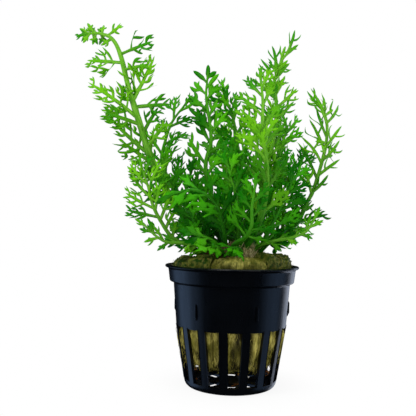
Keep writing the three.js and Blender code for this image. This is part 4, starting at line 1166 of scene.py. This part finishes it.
def fuse(fingers):
    """Fuses flat lobes into one closed blade, thin at its margin and thick along a lobe's middle."""
    flat, outlines, ridges, heights_at = lobe_outlines(fingers)
    # Triangles between all points, of which those inside a lobe are kept.
    made = geometry.delaunay_2d_cdt([Vector(p) for p in flat], ridges, outlines, 1, 1e-4)
    points = np.array([tuple(p) for p in made[0]])
    upper = np.array(made[2])
    middles = points[upper].mean(axis=1)
    shapes = [np.array([flat[i] for i in outline]) for outline in outlines]
    upper = upper[np.any([lies_within(middles, shape) for shape in shapes], axis=0)]

    # The margin is made of the sides that belong to one triangle only.
    sides = np.concatenate([upper[:, [0, 1]], upper[:, [1, 2]], upper[:, [2, 0]]])
    keys = np.sort(sides, axis=1)
    _, inverse, counts = np.unique(keys, axis=0, return_inverse=True, return_counts=True)
    margin = sides[counts[inverse.ravel()] == 1]
    on_margin = np.zeros(len(points), bool)
    on_margin[margin.ravel()] = True
    used = np.zeros(len(points), bool)
    used[upper.ravel()] = True
    inside = np.flatnonzero(used & ~on_margin)
    margin_edges = points[margin[:, 0]], points[margin[:, 1]] - points[margin[:, 0]]

    # The upper and the lower skin swell away from each other between the margins that they share.
    thick = np.zeros(len(points))
    for k in inside:
        level = min(1, distance_to(margin_edges, points[k]) / margin_width)
        on_ridges = [heights_at[i] for i in made[3][k] if i in heights_at]
        thick[k] = max(on_ridges, default=blade_thickness / 2 * math.sqrt(level * (2 - level)))
    keep = np.flatnonzero(used)
    number = np.full(len(points), -1)
    number[keep] = np.arange(len(keep))
    below = number.copy()
    below[inside] = len(keep) + np.arange(len(inside))
    both = np.concatenate([keep, inside])
    height = np.concatenate([thick[keep], -thick[inside]])
    faces = number[upper].tolist() + below[upper[:, ::-1]].tolist()
    return np.column_stack([points[both], height]), faces


def leaflet_part(frond, number, leaflet, plan, lean):
    """One leaflet on its stem: points, faces, growth and grain.

    Growth is how far a point is from stem to blade, its leaflet's tint and its painted shade. Grain is
    its place along and across the leaflet, counted in grain lengths and grain widths.
    """
    along, side, angle, _ = leaflet
    stalk = 0.33 + 0.4 * stem_radius(frond, along)
    flat, faces = fuse(leaflet_fingers(plan, stalk))
    x, y, z = flat.T
    seed = plan["seed"]
    lift = 0.42 * np.abs(y) * np.sin(1.1 * (x - 0.8 * np.abs(y)) + 2.0 * np.sign(y) + 3.0 * seed)
    ripple = 0.16 * np.sin(1.3 * x + 0.9 * y + seed)
    lifted = z + lift * np.minimum(1, np.abs(y) / 2) + ripple * x / plan["length"]
    bent = np.column_stack([x, y, lifted])
    at = curve_through(frond["stem"], [along])[0]
    points = set_on_stem(bent, plan, stem_frame(frond, along), at, side, math.radians(angle), lean)
    blade = np.clip(np.maximum((np.abs(y) - 0.3) / 2.0, (x / plan["length"] - 0.15) / 0.5), 0, 1)
    tint = uneven(seed + 0.8)
    # Painted shade near the crown and low down, with a random part for each leaflet.
    shade_mark = np.clip(crown_shade(points, frond, along) + 0.5 * (0.5 - tint), 0, 1)
    growth = np.column_stack([blade, np.full(len(flat), tint), shade_mark])
    apart = np.full(len(flat), 0.37 * number)
    grain = np.column_stack([x / grain_length + seed, y / grain_width, apart])
    return points, faces, growth, grain


def stem_part(frond, number):
    """The stem: a ribbed tapering tube that widens into the crown and swells where leaflets leave."""
    stretches = len(frond["stem"]) - 1
    shares = np.linspace(0, 1, 9 * stretches + 1)
    path = curve_through(frond["stem"], shares)
    radii = np.array([stem_radius(frond, s) for s in shares]) * (1 + 0.35 * np.exp(-shares / 0.05))
    for leaflet in frond["leaflets"]:
        radii *= 1 + 0.1 * np.exp(-((shares - leaflet[0]) / 0.012) ** 2)
    radii[-1] *= 0.5
    points, faces = tubes(path[None], radii[None], stem_sides)
    centre = np.repeat(path, stem_sides, axis=0)
    ribs = 1 + 0.045 * np.cos(np.tile(np.arange(stem_sides) * np.pi, len(path)))
    points = centre + (points - centre) * ribs[:, None]
    turn = np.tile(2 * np.pi * np.arange(stem_sides) / stem_sides, len(path))
    around = np.repeat(shares, stem_sides)
    blade = np.repeat(np.clip((shares - 0.9) / 0.1, 0, 0.6), stem_sides)
    # Painted shade, deepest near the crown and towards the stem's foot.
    shade_mark = np.minimum(1, crown_shade(points, frond, around) + 0.4 * (1 - around) ** 3)
    growth = np.column_stack([blade, np.full(len(points), 0.5), shade_mark])
    run = np.repeat(shares * stretches * 12, stem_sides)
    grain = np.column_stack([run / 9, 1.6 * np.cos(turn), 1.6 * np.sin(turn) + 0.37 * number])
    return points, faces, growth, grain


# Living leaf, grown under water: a satin skin, soft and partly see-through, so that light from behind
# brightens it. The stems are paler and ribbed, and veins 0.4 mm apart run along each lobe as streaks.
# A green is its stem's two colours, its blade's two, its painted shade's, and that of light through it.
leaf_colours = {
    "fresh": ("#50a010", "#86c640", "#2ea200", "#80d414", "#085a00", "#82dc08"),
    "grown": ("#34900e", "#60b026", "#148e00", "#62d00e", "#034c00", "#5cd004"),
    "deep": ("#1e760a", "#40961a", "#0a7200", "#4abc08", "#043c00", "#30b802"),
}
veins_per_grain = 2.2
leaf_finishes = {}
for green, colours in leaf_colours.items():
    stem_dark, stem_pale, blade_dark, blade_pale, shade_green, glow = (linear(c) for c in colours)
    made, tree, shader, place = new_finish("living_leaf_" + green)
    marks = add_node(tree, "Attribute", {}, attribute_name="growth")
    parted = add_node(tree, "SeparateXYZ", {0: marks.outputs["Vector"]})
    along = add_node(tree, "Attribute", {}, attribute_name="grain")
    veins = add_node(tree, "TexNoise", {"Vector": along.outputs["Vector"], "Scale": veins_per_grain,
                                     "Detail": 3.0})
    mottle = add_node(tree, "TexNoise", {"Vector": place, "Scale": per_metre(7), "Detail": 2.0})
    vein_share = add_node(tree, "MapRange", {"Value": veins.outputs[0], "From Min": 0.33,
                                             "From Max": 0.67})
    patch = add_node(tree, "Math", {0: mottle.outputs[0], 1: parted.outputs[1]}, operation="ADD")
    patch_share = add_node(tree, "MapRange", {"Value": patch.outputs[0], "From Min": 0.65,
                                              "From Max": 1.35})
    stem_tone = add_node(tree, "Mix", {0: vein_share.outputs[0], 6: stem_dark, 7: stem_pale},
                         data_type="RGBA")
    blade_tone = add_node(tree, "Mix", {0: patch_share.outputs[0], 6: blade_dark, 7: blade_pale},
                          data_type="RGBA")
    streaked = add_node(tree, "MapRange", {"Value": vein_share.outputs[0], "To Min": 0.0, "To Max": 0.26})
    veined = add_node(tree, "Mix", {0: streaked.outputs[0], 6: blade_tone.outputs[2], 7: stem_pale},
                      data_type="RGBA")
    fleshy = add_node(tree, "Mix", {0: parted.outputs[0], 6: stem_tone.outputs[2], 7: veined.outputs[2]},
                      data_type="RGBA")
    # Painted shade: the shade mark darkens the green towards its shaded colour.
    shade_share = add_node(tree, "Math", {0: parted.outputs[2], 1: 0.92}, operation="MULTIPLY")
    tone = add_node(tree, "Mix", {0: shade_share.outputs[0], 6: fleshy.outputs[2], 7: shade_green},
                    data_type="RGBA")
    satin = add_node(tree, "MapRange", {"Value": veins.outputs[0], "To Min": 0.3, "To Max": 0.5})
    relief = add_node(tree, "Bump", {"Height": veins.outputs[0], "Strength": 0.35, "Distance": 0.12 * MM})
    tree.links.new(tone.outputs[2], shader.inputs["Base Color"])
    tree.links.new(satin.outputs[0], shader.inputs["Roughness"])
    tree.links.new(relief.outputs[0], shader.inputs["Normal"])
    shader.inputs["IOR"].default_value = 1.42
    shader.inputs["Specular IOR Level"].default_value = 0.14
    through = add_node(tree, "BsdfTranslucent", {"Color": glow, "Normal": relief.outputs[0]})
    thin = add_node(tree, "MapRange", {"Value": parted.outputs[0], "To Min": 0.08, "To Max": 0.34})
    leaf = add_node(tree, "MixShader", {0: thin.outputs[0], 1: shader.outputs[0], 2: through.outputs[0]})
    tree.links.new(leaf.outputs[0], tree.nodes["Material Output"].inputs["Surface"])
    leaf_finishes[green] = made

# Beside a leaflet grow up to two smaller mates, which fill the frond out of its blade's plane:
# (side of the stem, share of the leaflet's length, least lean in degrees, how much more at most).
mate_places = [(-1, 0.75, 25, 45), (1, 0.62, 50, 35)]

for number, (name, frond) in enumerate(fronds.items()):
    corners = np.array([v.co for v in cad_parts[name].data.vertices]) / MM
    parts = [stem_part(frond, number)]
    mates, until = frond.get("mates", (0, 0))
    for i, leaflet in enumerate(frond["leaflets"] + [(0.97, 1, 0, frond["tip"])]):
        along, side, angle, length = leaflet
        seed = 100 * number + 5 * i
        plan, lean = as_in_solid(frond, corners, leaflet, seed)
        if plan:
            parts.append(leaflet_part(frond, number, leaflet, plan, lean))
        for k, (to, share, least, more) in enumerate(mate_places[:mates] if along < until else []):
            chance = uneven(seed + 1.1 + 0.7 * k)
            lean = math.radians((1 if chance > 0.5 else -1) * (least + more * uneven(seed + 1.9 + k)))
            plan = leaflet_plan(share * length, frond, seed + 0.5 + 0.25 * k, along)
            mate = (along + 0.012 + 0.02 * k, to * side, angle + 12 * k, length)
            parts.append(leaflet_part(frond, number, mate, plan, lean))
    for i, leaflet in enumerate(frond.get("extra", [])):
        seed = 100 * number + 3.3 * i + 61.7
        lean = math.radians(70 * (uneven(seed) - 0.5))
        plan = leaflet_plan(leaflet[3], frond, seed, leaflet[0])
        parts.append(leaflet_part(frond, number, leaflet, plan, lean))
    leaf = mesh_object(name + "_leaf", parts, ("growth", "grain"), leaf_finishes[frond["green"]])
    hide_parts(name)
    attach(leaf, "root")

# Stage: a plain pale floor that runs into a white backdrop, plain soft light, and the camera where
# the photograph was taken. Four tall panels at the sides give the dark pot its upright sheens.
floor_reach = 3000
floor_drop = 0.02

# Matt paper, rolled out pale: it takes the pot's soft shadow and fades into the white round it.
paper_floor, tree, shader, place = new_finish("pale_paper_floor")
shader.inputs["Base Color"].default_value = linear("#f1f1f0")
shader.inputs["Roughness"].default_value = 0.9
away = add_node(tree, "VectorMath", {0: place}, operation="LENGTH")
far = add_node(tree, "MapRange", {"Value": away.outputs["Value"], "From Min": 10 * MM,
                                  "From Max": 42 * MM, "To Min": 0.87},
               interpolation_type="SMOOTHSTEP")
backdrop = add_node(tree, "Emission", {"Color": linear("#ffffff"), "Strength": 1.0})
swept = add_node(tree, "MixShader", {0: far.outputs[0], 1: shader.outputs[0], 2: backdrop.outputs[0]})
tree.links.new(swept.outputs[0], tree.nodes["Material Output"].inputs["Surface"])
floor_corners = [(x * floor_reach, y * floor_reach, -floor_drop)
                 for x, y in ((-1, -1), (1, -1), (1, 1), (-1, 1))]
floor = mesh_object("floor", [(np.array(floor_corners), [(0, 1, 2, 3)])], (), paper_floor)
floor.visible_glossy = False

camera_place = (0, -220, 61)
camera_roll = math.radians(1)
sensor_width = 36
picture_pixels = 416
focal_pixels = 528
# The picture's centre is left of and above this pixel, which the camera's level line passes through.
axis_pixel = (232.4, 234.0)
camera = bpy.data.objects.new("camera", bpy.data.cameras.new("camera"))
camera.data.sensor_width = sensor_width
camera.data.lens = sensor_width * focal_pixels / picture_pixels
camera.location = Vector(camera_place) * MM
off_x, off_y = picture_pixels / 2 - axis_pixel[0], axis_pixel[1] - picture_pixels / 2
across = off_x * math.cos(camera_roll) - off_y * math.sin(camera_roll)
upward = off_x * math.sin(camera_roll) + off_y * math.cos(camera_roll)
aim = Vector((across, focal_pixels, upward)).normalized()
right = Vector((math.cos(camera_roll), 0, math.sin(camera_roll)))
up = right.cross(aim).normalized()
right = aim.cross(up).normalized()
turn = np.array([right, up, -aim]).T
camera.rotation_mode = "QUATERNION"
camera.rotation_quaternion = Matrix(turn.tolist()).to_quaternion()
camera.data.clip_start, camera.data.clip_end = 0.01, 20
bpy.context.scene.collection.objects.link(camera)
bpy.context.scene.camera = camera

light_target = (0, 0, 50)
every_ray = ("diffuse", "glossy", "transmission")
soft = ("diffuse", "transmission")


def soft_box(name, place, size, power, colour="#ffffff", lit=every_ray):
    """A soft light at a place, aimed at the pot's rim, with its size and the kinds of ray that see it."""
    lamp = bpy.data.lights.new(name, "AREA")
    lamp.shape = "RECTANGLE"
    lamp.size, lamp.size_y = (s * MM for s in size)
    lamp.energy = power
    lamp.color = linear(colour)[:3]
    made = bpy.data.objects.new(name, lamp)
    made.location = Vector(place) * MM
    made.rotation_mode = "QUATERNION"
    made.rotation_quaternion = (Vector(light_target) - Vector(place)).to_track_quat("-Z", "Y")
    for ray in every_ray:
        setattr(made, "visible_" + ray, ray in lit)
    bpy.context.scene.collection.objects.link(made)


soft_box("light_left", (-420, -260, 480), (160, 220), 2.0, lit=soft)
soft_box("light_right", (520, -340, 240), (200, 300), 1.2, lit=soft)
soft_box("light_front", (0, -700, 420), (700, 500), 0.85, lit=soft)
soft_box("light_top", (0, 60, 700), (600, 600), 1.8)
# Tall cold panels that only sheens show, so that they draw the upright bands on the pot's sides.
soft_box("panel_left", (-622, 190, -20), (450, 760), 0.95, "#a6cbff", lit=("glossy",))
soft_box("panel_front_left", (-640, -110, -20), (450, 760), 0.42, "#a6cbff", lit=("glossy",))
soft_box("panel_right", (650, -20, -20), (500, 760), 0.66, "#a6cbff", lit=("glossy",))
soft_box("panel_back_right", (400, 512, -20), (340, 760), 1.2, "#dde8ff", lit=("glossy",))

# The camera sees a white room, the matt surfaces a pale one, and the sheens a dark one.
world = bpy.data.worlds.new("studio")
bpy.context.scene.world = world
world.use_nodes = True
tree = world.node_tree
seen_by = add_node(tree, "LightPath", {})
room = add_node(tree, "Background", {"Color": linear("#eef2f6"), "Strength": 0.45})
dark = add_node(tree, "Background", {"Color": linear("#8896ad"), "Strength": 0.03})
white = add_node(tree, "Background", {"Color": linear("#ffffff"), "Strength": 1.0})
unlit = add_node(tree, "MixShader", {0: seen_by.outputs["Is Glossy Ray"], 1: room.outputs[0],
                                     2: dark.outputs[0]})
both = add_node(tree, "MixShader", {0: seen_by.outputs["Is Camera Ray"], 1: unlit.outputs[0],
                                    2: white.outputs[0]})
tree.links.new(both.outputs[0], tree.nodes["World Output"].inputs["Surface"])
bpy.context.scene.view_settings.view_transform = "Standard"
